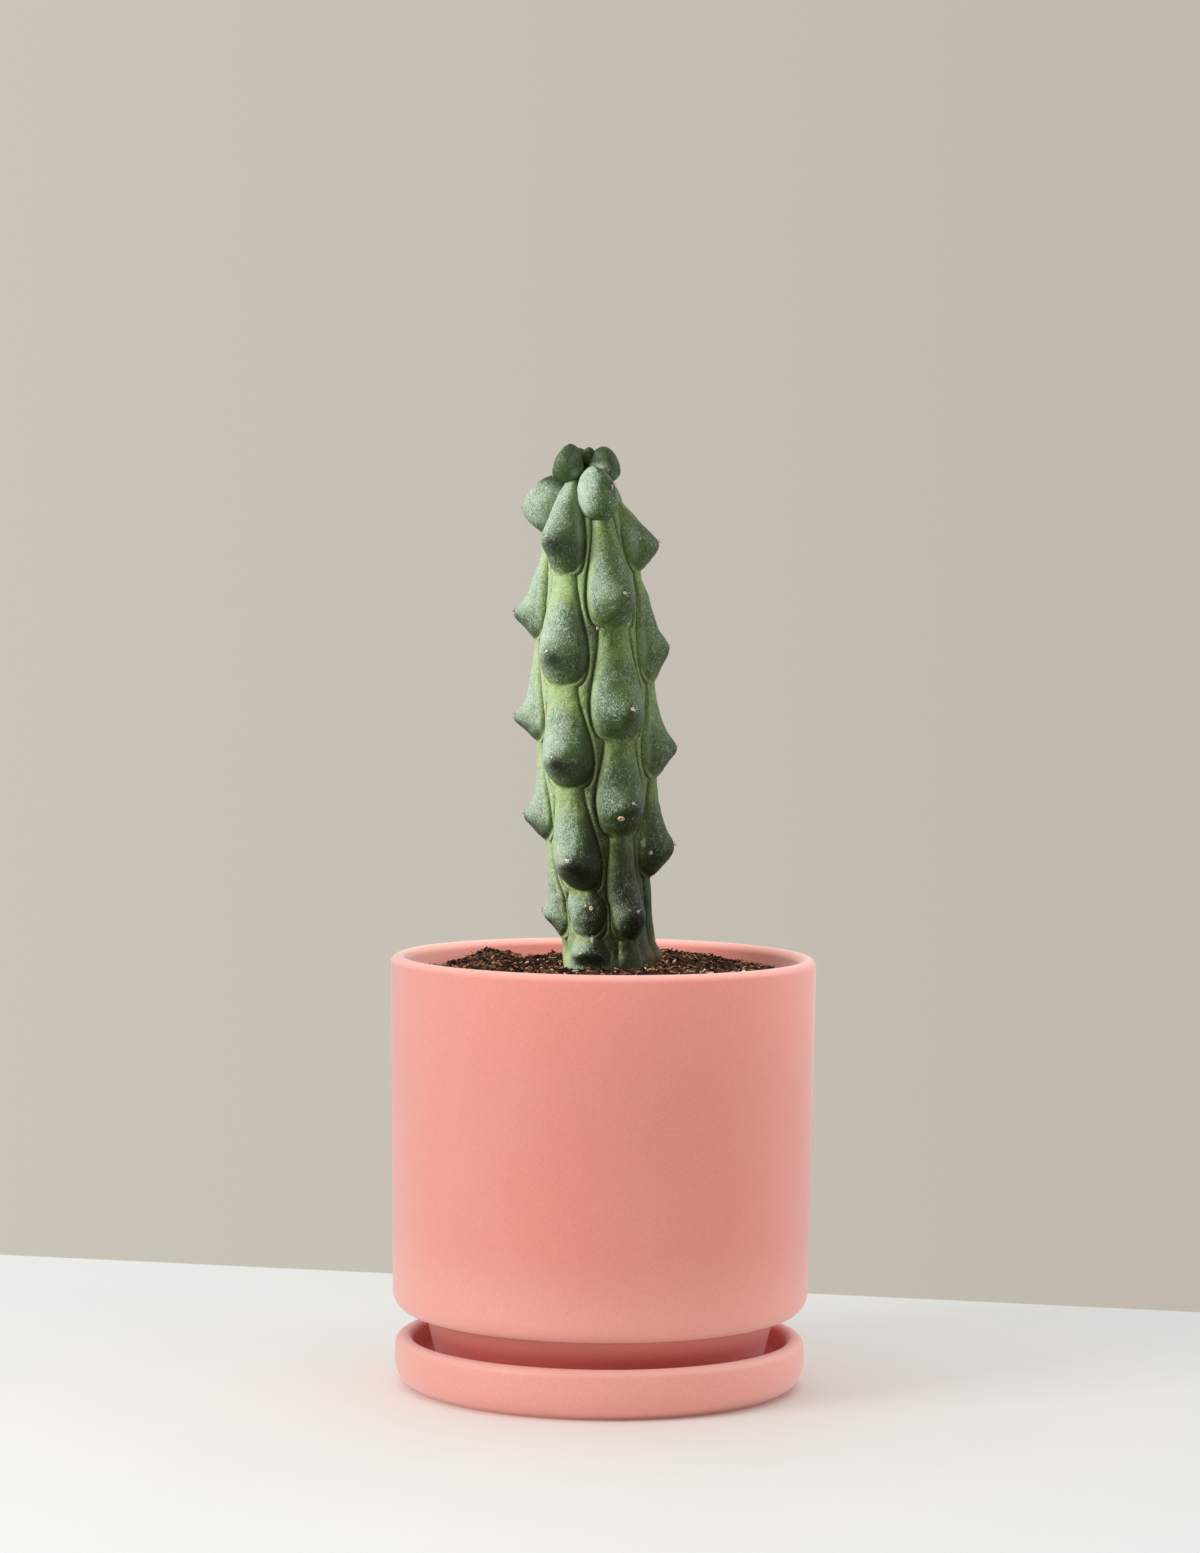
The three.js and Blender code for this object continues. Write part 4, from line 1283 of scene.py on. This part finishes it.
class CACTUS_OT_plant(bpy.types.Operator):
    """Grow the plant's body: the ribbed stem with its knobs, and the young knobs of the crown"""

    bl_idname = "cactus.grow_plant"
    bl_label = "Grow Plant"

    def execute(self, context):
        settings = context.scene.cactus_skin
        stem = self.grow_stem()
        young = [self.grow_young(knob) for knob in CROWN]
        deselect()
        for piece in [stem, *young]:
            piece.select_set(True)
        context.view_layer.objects.active = stem
        bpy.ops.object.join()
        self.mark_sides(stem.data)
        finish_piece(stem, "cactus_body", skin_material(settings), "cactus", ["cactus"])
        return {"FINISHED"}

    def grow_stem(self):
        """Wraps a fine grid round the stem's line, with each corner at its place on a rib"""
        heights = stem_heights()
        rows = len(heights)
        columns = len(RIBS) * (RIB_COLUMNS + VALLEY_COLUMNS)
        deselect()
        bpy.ops.mesh.primitive_grid_add(x_subdivisions=columns, y_subdivisions=rows - 1, size=2)
        stem = bpy.context.object
        mesh = stem.data
        flat = corners_of(mesh)
        column = np.rint((flat[:, 0] + 1) / 2 * columns).astype(int) % columns
        row = np.rint((flat[:, 1] + 1) / 2 * (rows - 1)).astype(int)
        places = np.empty((rows, columns, 3))
        zones = np.empty((rows, columns, 4))
        for i, height in enumerate(heights):
            parts = [rib_row(rib, height) for rib in range(len(RIBS))]
            bearings, radii, zones[i] = (np.concatenate(part) for part in zip(*parts))
            x = along(STEM_LINE, height) + radii * np.sin(bearings)
            places[i] = np.column_stack([x, -radii * np.cos(bearings), np.full(columns, height)])
        centre = np.array([[along(STEM_LINE, h), 0, h] for h in heights])[:, None]
        outward = places - centre
        outward /= np.linalg.norm(outward, axis=2, keepdims=True)
        calm = np.array([smooth_step(h, SOIL_LINE, RIBS_FULL) for h in heights])[:, None, None]
        skin = places.reshape(-1, 3)
        waves = [rough_of(skin * (1, 1, drawn), size, seed) * tall for tall, size, seed, drawn in STEM_WAVES]
        places = places + outward * sum(waves).reshape(rows, columns, 1) * calm
        move_corners(mesh, places[row, column] * MM)
        lay_attribute(mesh, "zones", zones[row, column])
        only(stem)
        bpy.ops.object.mode_set(mode="EDIT")
        bpy.ops.mesh.select_all(action="SELECT")
        bpy.ops.mesh.remove_doubles(threshold=1e-7)
        bpy.ops.mesh.select_all(action="DESELECT")
        for height, end in ((heights[0], STEM_BOTTOM), (heights[-1], STEM_TOP)):
            self.close_end(stem, height, end)
        bpy.ops.object.mode_set(mode="OBJECT")
        face_outwards(stem)
        only(stem)
        bpy.ops.object.shade_smooth()
        return stem

    def close_end(self, stem, height, end):
        """Fills one open end of the stem with a fan that rises or falls to a point"""
        shape = bmesh.from_edit_mesh(stem.data)
        shape.verts.ensure_lookup_table()
        for v in shape.verts:
            v.select = bool(v.is_boundary and abs(v.co.z - height * MM) < 3 * MM)
        shape.select_flush_mode()
        bmesh.update_edit_mesh(stem.data)
        bpy.ops.mesh.extrude_region_move(TRANSFORM_OT_translate={"value": (0, 0, (end - height) * MM)})
        bpy.ops.mesh.merge(type="CENTER")
        bpy.ops.mesh.select_all(action="DESELECT")

    def grow_young(self, knob):
        """Shapes a sphere into a young knob, with its tip and flats"""
        deselect()
        bpy.ops.mesh.primitive_uv_sphere_add(segments=40, ring_count=26, radius=1)
        young = bpy.context.object
        corners = corners_of(young.data)
        corners /= np.linalg.norm(corners, axis=1, keepdims=True)
        facing = np.column_stack([corners[:, 0], corners[:, 2], -corners[:, 1]])
        places, centre = young_places(knob, facing)
        outward = (places - centre) / np.linalg.norm(places - centre, axis=1, keepdims=True)
        tall, size, seed = YOUNG_WAVES
        places = places + outward * (rough_of(places, size, seed) * tall)[:, None]
        move_corners(young.data, places * MM)
        close = facing @ (np.array(knob.tip) / np.linalg.norm(knob.tip))
        tip = np.maximum(0, close) ** 14 * min(1, 12 * knob.point)
        dome = (0.3 + 0.7 * smooth_step_all(facing[:, 1], -0.95, -0.4)) * (1.0 if knob.point else 0.2)
        # A painted highlight along the knob's sides
        rim = np.exp(-(((np.abs(facing[:, 0]) - 0.86) / 0.1) ** 2)) * 0.9
        lay_attribute(young.data, "zones", np.column_stack([0.6 * tip, dome, 0 * tip, rim]))
        face_outwards(young)
        only(young)
        bpy.ops.object.shade_smooth()
        return young

    def mark_sides(self, mesh):
        """Marks painted light and most bloom, cork, scrapes, and painted shade and darker young skin"""
        normals = np.empty(len(mesh.vertices) * 3, np.float32)
        mesh.vertices.foreach_get("normal", normals)
        normals = normals.reshape(-1, 3)
        zones = np.empty(len(mesh.vertices) * 4, np.float32)
        mesh.attributes["zones"].data.foreach_get("color", zones)
        dome = zones.reshape(-1, 4)[:, 1]
        places = corners_of(mesh) / MM
        height = places[:, 2]
        x, y = places[:, 0] - np.interp(height, *np.transpose(STEM_LINE)), places[:, 1]
        bearing = np.degrees(np.arctan2(x, -y))
        facing = normals @ np.array(LIGHT_WAY)

        # Painted light where the skin faces the light, on the right towards the right, and on one young knob
        painted_light = 0.22 - 0.06 * from_to(height, YOUNG_SKIN) + 0.78 * facing
        to_right = smooth_step_all(normals[:, 0], 0, 0.6) * from_to(bearing, RIGHT_LIGHT)
        painted_light = np.maximum(painted_light, 0.5 * to_right)
        pale = from_to(np.linalg.norm(places - PALE_YOUNG, axis=1), PALE_YOUNG_REACH)
        fresh = from_to(height, FRESH_SKIN) * (1 - pale)
        lit = pale * smooth_step_all(facing, 0.1, 0.75)
        painted_light = np.clip(painted_light + 0.45 * lit - 0.35 * fresh, 0, 1)

        cork = from_to(height, CORK_HEIGHT, even_step)
        cork = cork * from_to(x / (np.hypot(x, y) + 0.01), CORK_SIDE, even_step)
        scrape = np.maximum(0.1, from_to(height, SCRAPED_SKIN, even_step))

        # Painted shade on the lower stem where it is turned from the light
        lower = from_to(height, LOWER_STEM_SHADE)
        painted_shade_and_young_skin = (0.8 * lower + 0.2 * from_to(height, STEM_FOOT_SHADE)) * (1 - smooth_step_all(facing, 0.2, 0.9))
        # Painted shade in a dusky band round the front valley, and round the root further right
        dusk = from_to(np.abs(bearing - DUSK_BEARING), DUSK_WIDTH) * from_to(height, DUSK_TOP)
        dusk = dusk * (1 - 0.75 * dome * smooth_step_all(bearing, 0, 12)) * (0.55 + 0.4 * lower)
        root = from_to(np.abs(bearing - ROOT_SHADE_BEARING), ROOT_SHADE_WIDTH)
        root = root * from_to(height, ROOT_SHADE_TOP)
        dusk = np.maximum(dusk, 0.75 * root) * (1 - 0.3 * smooth_step_all(facing, 0.2, 0.7))
        # The painted shade, and the darker young skin at the crown's top
        painted_shade_and_young_skin = np.maximum(np.maximum(painted_shade_and_young_skin, dusk), 0.55 * fresh)
        lay_attribute(mesh, "sides", np.column_stack([painted_light, cork, scrape, painted_shade_and_young_skin]))


def areoles():
    """Places, outward directions and sizes of the areoles"""
    found = []
    for rib, knobs in enumerate(RIBS):
        for k, knob in enumerate(knobs):
            turn = math.radians(knob.bearing)
            bearings, radii, _ = rib_row(rib, knob.height + AREOLE_RISE)
            radius = radii[int(np.argmin(np.abs(bearings - turn)))]
            place = stem_place(turn, radius, knob.height + AREOLE_RISE)
            size = SMALL_TUFT if rib in SIDE_RIBS or k > 3 else 1.0
            found.append((place, Vector((math.sin(turn), -math.cos(turn), 0.45)).normalized(), size))
    for knob in CROWN:
        if knob.tuft:
            tip = np.array([knob.tip]) / np.linalg.norm(knob.tip)
            places, centre = young_places(knob, tip)
            outward = Vector(places[0] - centre).normalized()
            found.append((Vector(places[0]), outward, knob.tuft))
    return found


class CACTUS_OT_spines(bpy.types.Operator):
    """Grow the areoles on the tips: a tuft of felt with a star of short spines, and the scars on the skin"""

    bl_idname = "cactus.grow_spines"
    bl_label = "Grow Spines"

    def execute(self, context):
        self.grow_wool()
        self.grow_spines()
        self.make_scars()
        return {"FINISHED"}

    def copies(self, obj, name, copies, material):
        """Copies a seed object's mesh to each matrix, with a tone for each copy, as one piece"""
        corners, faces, tones = [], [], []
        seed_corners = corners_of(obj.data)
        seed_faces = [list(face.vertices) for face in obj.data.polygons]
        for number, (matrix, tone) in enumerate(copies):
            block = np.array(matrix)
            corners.append(seed_corners @ block[:3, :3].T + block[:3, 3])
            faces.extend([[v + number * len(seed_corners) for v in face] for face in seed_faces])
            tones.append(tone if isinstance(tone, np.ndarray) else np.full(len(seed_corners), tone))
        fill_mesh(obj.data, np.concatenate(corners), faces, tones)
        only(obj)
        bpy.ops.object.shade_smooth()
        finish_piece(obj, name, material, "cactus")

    def frame_at(self, place, outward, size, spin=0.0):
        """Matrix of a copy: its place and size, and the way its upright axis points"""
        turn = outward.to_track_quat("Z", "Y") @ Quaternion((0, 0, 1), spin)
        sized = Matrix.Diagonal((*(s * MM for s in size), 1))
        return Matrix.Translation(place * MM) @ turn.to_matrix().to_4x4() @ sized

    def grow_wool(self):
        deselect()
        bpy.ops.mesh.primitive_ico_sphere_add(subdivisions=3, radius=1)
        wool = bpy.context.object
        bpy.ops.object.mode_set(mode="EDIT")
        bpy.ops.transform.vertex_random(offset=0.22, seed=3)
        bpy.ops.object.mode_set(mode="OBJECT")
        draw = random.Random(8)
        spots = []
        for place, outward, size in areoles():
            half = WOOL_SIZE * size * (0.85 + 0.3 * draw.random())
            sizes = (half, half, WOOL_FLATNESS * half)
            spots.append((self.frame_at(place, outward, sizes, draw.random() * 6), 0.5))
        self.copies(wool, "areole_wool", spots, wool_material())

    def grow_spines(self):
        """Bends a narrow cone into a spine, and copies it into a star on each areole"""
        deselect()
        bpy.ops.mesh.primitive_cone_add(vertices=5, radius1=1, radius2=0.15, depth=1, location=(0, 0, 0.5))
        spine = bpy.context.object
        bpy.ops.object.transform_apply(location=True, rotation=False, scale=False)
        bpy.ops.object.mode_set(mode="EDIT")
        bpy.ops.mesh.select_all(action="DESELECT")
        cut_lengthways(spine, 2)
        bpy.ops.object.mode_set(mode="OBJECT")
        bent = corners_of(spine.data)
        bent[:, 0] += SPINE_BEND * bent[:, 2] ** 2
        move_corners(spine.data, bent)
        draw = random.Random(17)
        needles = []
        for place, outward, size in areoles():
            side = outward.orthogonal().normalized()
            start = draw.random() * math.tau
            count = LARGE_STAR if size > LARGE_TUFT else SMALL_STAR
            for i in range(count):
                round_way = start + (i + 0.5 * draw.random()) * math.tau / count
                lean = Quaternion(outward, round_way) @ side
                slope = math.radians(drawn_from(draw, *SPINE_SLOPE, 1))
                way = (Quaternion(lean, slope) @ outward).normalized()
                long = size * drawn_from(draw, *SPINE_LENGTH, 1)
                thick = SPINE_THICKNESS * drawn_from(draw, 0.8, 0.4, 1)
                tone = 0.05 if draw.random() < DARK_SPINES else 0.95
                root = place + way.cross(lean) * 0.02 - outward * 0.1
                sizes = (thick, thick, long + 0.2)
                needles.append((self.frame_at(root, way, sizes, draw.random() * 6), tone))
        self.copies(spine, "spines", needles, spine_material())

    def make_scars(self):
        """Hollows a flat ball in its middle, and copies it to each scar"""
        deselect()
        bpy.ops.mesh.primitive_uv_sphere_add(segments=20, ring_count=14, radius=1)
        scar = bpy.context.object
        corners = corners_of(scar.data)
        out = np.hypot(corners[:, 0], corners[:, 1])
        corners[:, 2] -= SCAR_HOLLOW * np.exp(-((out / 0.4) ** 2)) * (corners[:, 2] > 0)
        move_corners(scar.data, corners)
        tones = np.clip((out - 0.15) / 0.6, 0, 1)
        spots = []
        for bearing, height, wide, tall in SCARS:
            place, outward = skin_at(math.radians(bearing), height)
            spots.append((self.frame_at(place, outward, (wide, tall, SCAR_THICKNESS)), tones))
        self.copies(scar, "scars", spots, scar_material())


def skin_at(turn, height):
    """The place on the stem's skin at a bearing and height, and the way it faces"""

    def radius_at(angle, level):
        best = None
        for rib in range(len(RIBS)):
            bearings, radii, _ = rib_row(rib, level)
            off = (bearings - angle + math.pi) % math.tau - math.pi
            i = int(np.argmin(np.abs(off)))
            if best is None or abs(off[i]) < best[0]:
                best = (abs(off[i]), radii[i])
        return best[1]

    place = stem_place(turn, radius_at(turn, height), height)
    beside = stem_place(turn + 0.03, radius_at(turn + 0.03, height), height)
    over = stem_place(turn, radius_at(turn, height + 0.8), height + 0.8)
    outward = (beside - place).cross(over - place).normalized()
    return place, outward


# Pot and saucer


def make_ceramic(name, outline, closed, node, material):
    piece = turned(outline, CERAMIC_SIDES, closed)
    finish_piece(piece, name, material, node, [node])


class CACTUS_OT_saucer(bpy.types.Operator):
    """Make the saucer: turned ceramic with a rolled rim"""

    bl_idname = "cactus.make_saucer"
    bl_label = "Make Saucer"

    def execute(self, context):
        settings = context.scene.cactus_ceramic
        # The saucer's lift is painted light, as if lit from the floor
        ceramic = ceramic_material("saucer_ceramic", settings, 0.4, 0.5, SAUCER_RIM, -1, SAUCER_INSIDE)
        make_ceramic("saucer_dish", SAUCER_OUTLINE, False, "saucer", ceramic)
        return {"FINISHED"}


class CACTUS_OT_pot(bpy.types.Operator):
    """Make the pot: turned ceramic with a rounded lip, a rounded lower corner and a narrower foot"""

    bl_idname = "cactus.make_pot"
    bl_label = "Make Pot"

    def execute(self, context):
        settings = context.scene.cactus_ceramic
        ceramic = ceramic_material("pot_ceramic", settings, 0.1, -0.04, POT_RIM, SKIRT_BOTTOM, 0)
        make_ceramic("pot_body", POT_OUTLINE, True, "pot", ceramic)
        return {"FINISHED"}


class CACTUS_OT_studio(bpy.types.Operator):
    """Set the studio: a pale floor, a soft key light, an even fill and the camera"""

    bl_idname = "cactus.set_studio"
    bl_label = "Set Studio"

    def execute(self, context):
        settings = context.scene.cactus_studio
        self.lay_floor(settings)
        self.light_backdrop(context, settings)
        self.place_lights(settings)
        self.place_camera(context)
        context.scene.view_settings.view_transform = "Standard"
        return {"FINISHED"}

    def lay_floor(self, settings):
        deselect()
        bpy.ops.mesh.primitive_cube_add(size=1, location=FLOOR_PLACE, scale=FLOOR_SIZE)
        floor = bpy.context.object
        bpy.ops.object.transform_apply(location=True, rotation=False, scale=True)
        bpy.ops.object.mode_set(mode="EDIT")
        bpy.ops.mesh.bevel(offset=3 * MM, segments=3, affect="EDGES")
        bpy.ops.object.mode_set(mode="OBJECT")
        floor.rotation_euler.z = math.radians(FLOOR_TURN)
        bpy.ops.object.transform_apply(location=False, rotation=True, scale=False)
        bpy.ops.object.shade_smooth_by_angle(angle=math.radians(40))
        floor.name = "floor"
        material, tree, shader, place = new_material("floor_paint")
        sizes = {"Vector": place, "Grain size": 700.0, "Cloud size": 6.0}
        clouds = times(tree, place_group(tree, grain_group(), sizes)["Clouds"], 0.5)
        tone = blend(tree, clouds, settings.floor, darker(settings.floor, 0.96))
        fill(tree, shader, {"Base Color": tone, "Roughness": 0.7})
        floor.data.materials.append(material)

    def light_backdrop(self, context, settings):
        """A plain wall behind the object, with painted light that fades to the right, and a light from all
        round that is stronger from above
        """
        world = bpy.data.worlds.new("studio")
        context.scene.world = world
        world.use_nodes = True
        tree = world.node_tree
        tree.nodes.clear()
        way = tree.nodes.new("ShaderNodeTexCoord").outputs["Generated"]
        sideways, _, upward = add(tree, "ShaderNodeSeparateXYZ", {0: way}).outputs
        # Painted light on the backdrop, fading from left to right
        across = spread(tree, sideways, -0.2, 0.2)
        wall = blend(tree, across, settings.backdrop_left, settings.backdrop_right)
        seen = add(tree, "ShaderNodeBackground", {"Color": wall, "Strength": 1.0})
        strength = spread(tree, upward, 0.0, 1.0, 0.85 * settings.fill, 1.5 * settings.fill)
        around = add(tree, "ShaderNodeBackground", {"Color": (*settings.ambient, 1), "Strength": strength})
        ray = tree.nodes.new("ShaderNodeLightPath").outputs["Is Camera Ray"]
        mix = add(tree, "ShaderNodeMixShader", {0: ray, 1: around.outputs[0], 2: seen.outputs[0]})
        add(tree, "ShaderNodeOutputWorld", {0: mix.outputs[0]})

    def place_lights(self, settings):
        """A broad key on the left, a weak edge light behind on the right, a light on the plant alone, and
        one let into the mouth of the pot past the plant"""
        self.place_lamp("key", KEY_LAMP, settings.key_power)
        edge = self.place_lamp("edge", EDGE_LAMP, settings.key_power * EDGE_SHARE)
        edge.light_linking.receiver_collection = self.gather("object", *PIECES)
        plant = self.place_lamp("plant_light", PLANT_LAMP, settings.plant_power)
        plant.light_linking.receiver_collection = self.gather("plant", "cactus")
        mouth = self.place_lamp("mouth_light", MOUTH_LAMP, settings.mouth_power, "SPOT")
        mouth.data.spot_size = math.radians(MOUTH_CONE)
        mouth.data.spot_blend = MOUTH_BLEND
        mouth.data.color = MOUTH_TINT
        mouth.light_linking.receiver_collection = self.gather("mouth", "pot", "soil")
        mouth.light_linking.blocker_collection = self.gather("mouth_edge", "pot")

    def place_lamp(self, name, where, power, kind="AREA"):
        place, aim, size = where
        lamp = bpy.data.lights.new(name, kind)
        if kind == "AREA":
            lamp.size = size
        else:
            lamp.shadow_soft_size = size
        lamp.energy = power
        lamp.color = LAMP_TINT
        obj = bpy.data.objects.new(name, lamp)
        obj.location = place
        obj.rotation_euler = (Vector(aim) - Vector(place)).to_track_quat("-Z", "Y").to_euler()
        bpy.context.scene.collection.objects.link(obj)
        return obj

    def gather(self, name, *nodes):
        """A collection of all the pieces that belong to the nodes"""
        collection = bpy.data.collections.new(name)
        for node in nodes:
            for piece in PIECES[node]:
                collection.objects.link(bpy.data.objects[piece])
        return collection

    def place_camera(self, context):
        data = bpy.data.cameras.new("camera")
        data.lens = CAMERA_LENS
        data.sensor_width = CAMERA_SENSOR
        data.clip_start, data.clip_end = 0.05, 20
        camera = bpy.data.objects.new("camera", data)
        camera.location = [c * MM for c in CAMERA_PLACE]
        camera.rotation_mode = "QUATERNION"
        pitch = Quaternion((1, 0, 0), math.radians(90 - CAMERA_PITCH))
        camera.rotation_quaternion = pitch @ Quaternion((0, 0, 1), math.radians(CAMERA_ROLL))
        context.scene.collection.objects.link(camera)
        context.scene.camera = camera


class CACTUS_PT_sidebar(bpy.types.Panel):
    """Lists the settings and the steps in the order in which they are made"""

    bl_label = "Potted Cactus"
    bl_space_type = "VIEW_3D"
    bl_region_type = "UI"
    bl_category = "Cactus"

    def draw(self, context):
        for group in SETTINGS:
            box = self.layout.box()
            settings = getattr(context.scene, group)
            for name in settings.__annotations__:
                box.prop(settings, name)
        for operator in STEPS:
            self.layout.operator(operator.bl_idname)


SETTINGS = {
    "cactus_ceramic": CeramicSettings,
    "cactus_soil": SoilSettings,
    "cactus_skin": SkinSettings,
    "cactus_studio": StudioSettings,
}
STEPS = [CACTUS_OT_saucer, CACTUS_OT_pot, CACTUS_OT_soil, CACTUS_OT_plant, CACTUS_OT_spines, CACTUS_OT_studio]


def register():
    for cls in [*SETTINGS.values(), *STEPS, CACTUS_PT_sidebar]:
        bpy.utils.register_class(cls)
    for name, cls in SETTINGS.items():
        setattr(bpy.types.Scene, name, bpy.props.PointerProperty(type=cls))


def unregister():
    for name in SETTINGS:
        delattr(bpy.types.Scene, name)
    for cls in reversed([*SETTINGS.values(), *STEPS, CACTUS_PT_sidebar]):
        bpy.utils.unregister_class(cls)


def main():
    register()
    bpy.ops.cactus.make_saucer()
    bpy.ops.cactus.make_pot()
    bpy.ops.cactus.make_soil()
    bpy.ops.cactus.grow_plant()
    bpy.ops.cactus.grow_spines()
    bpy.ops.cactus.set_studio()


if __name__ == "__main__":
    main()
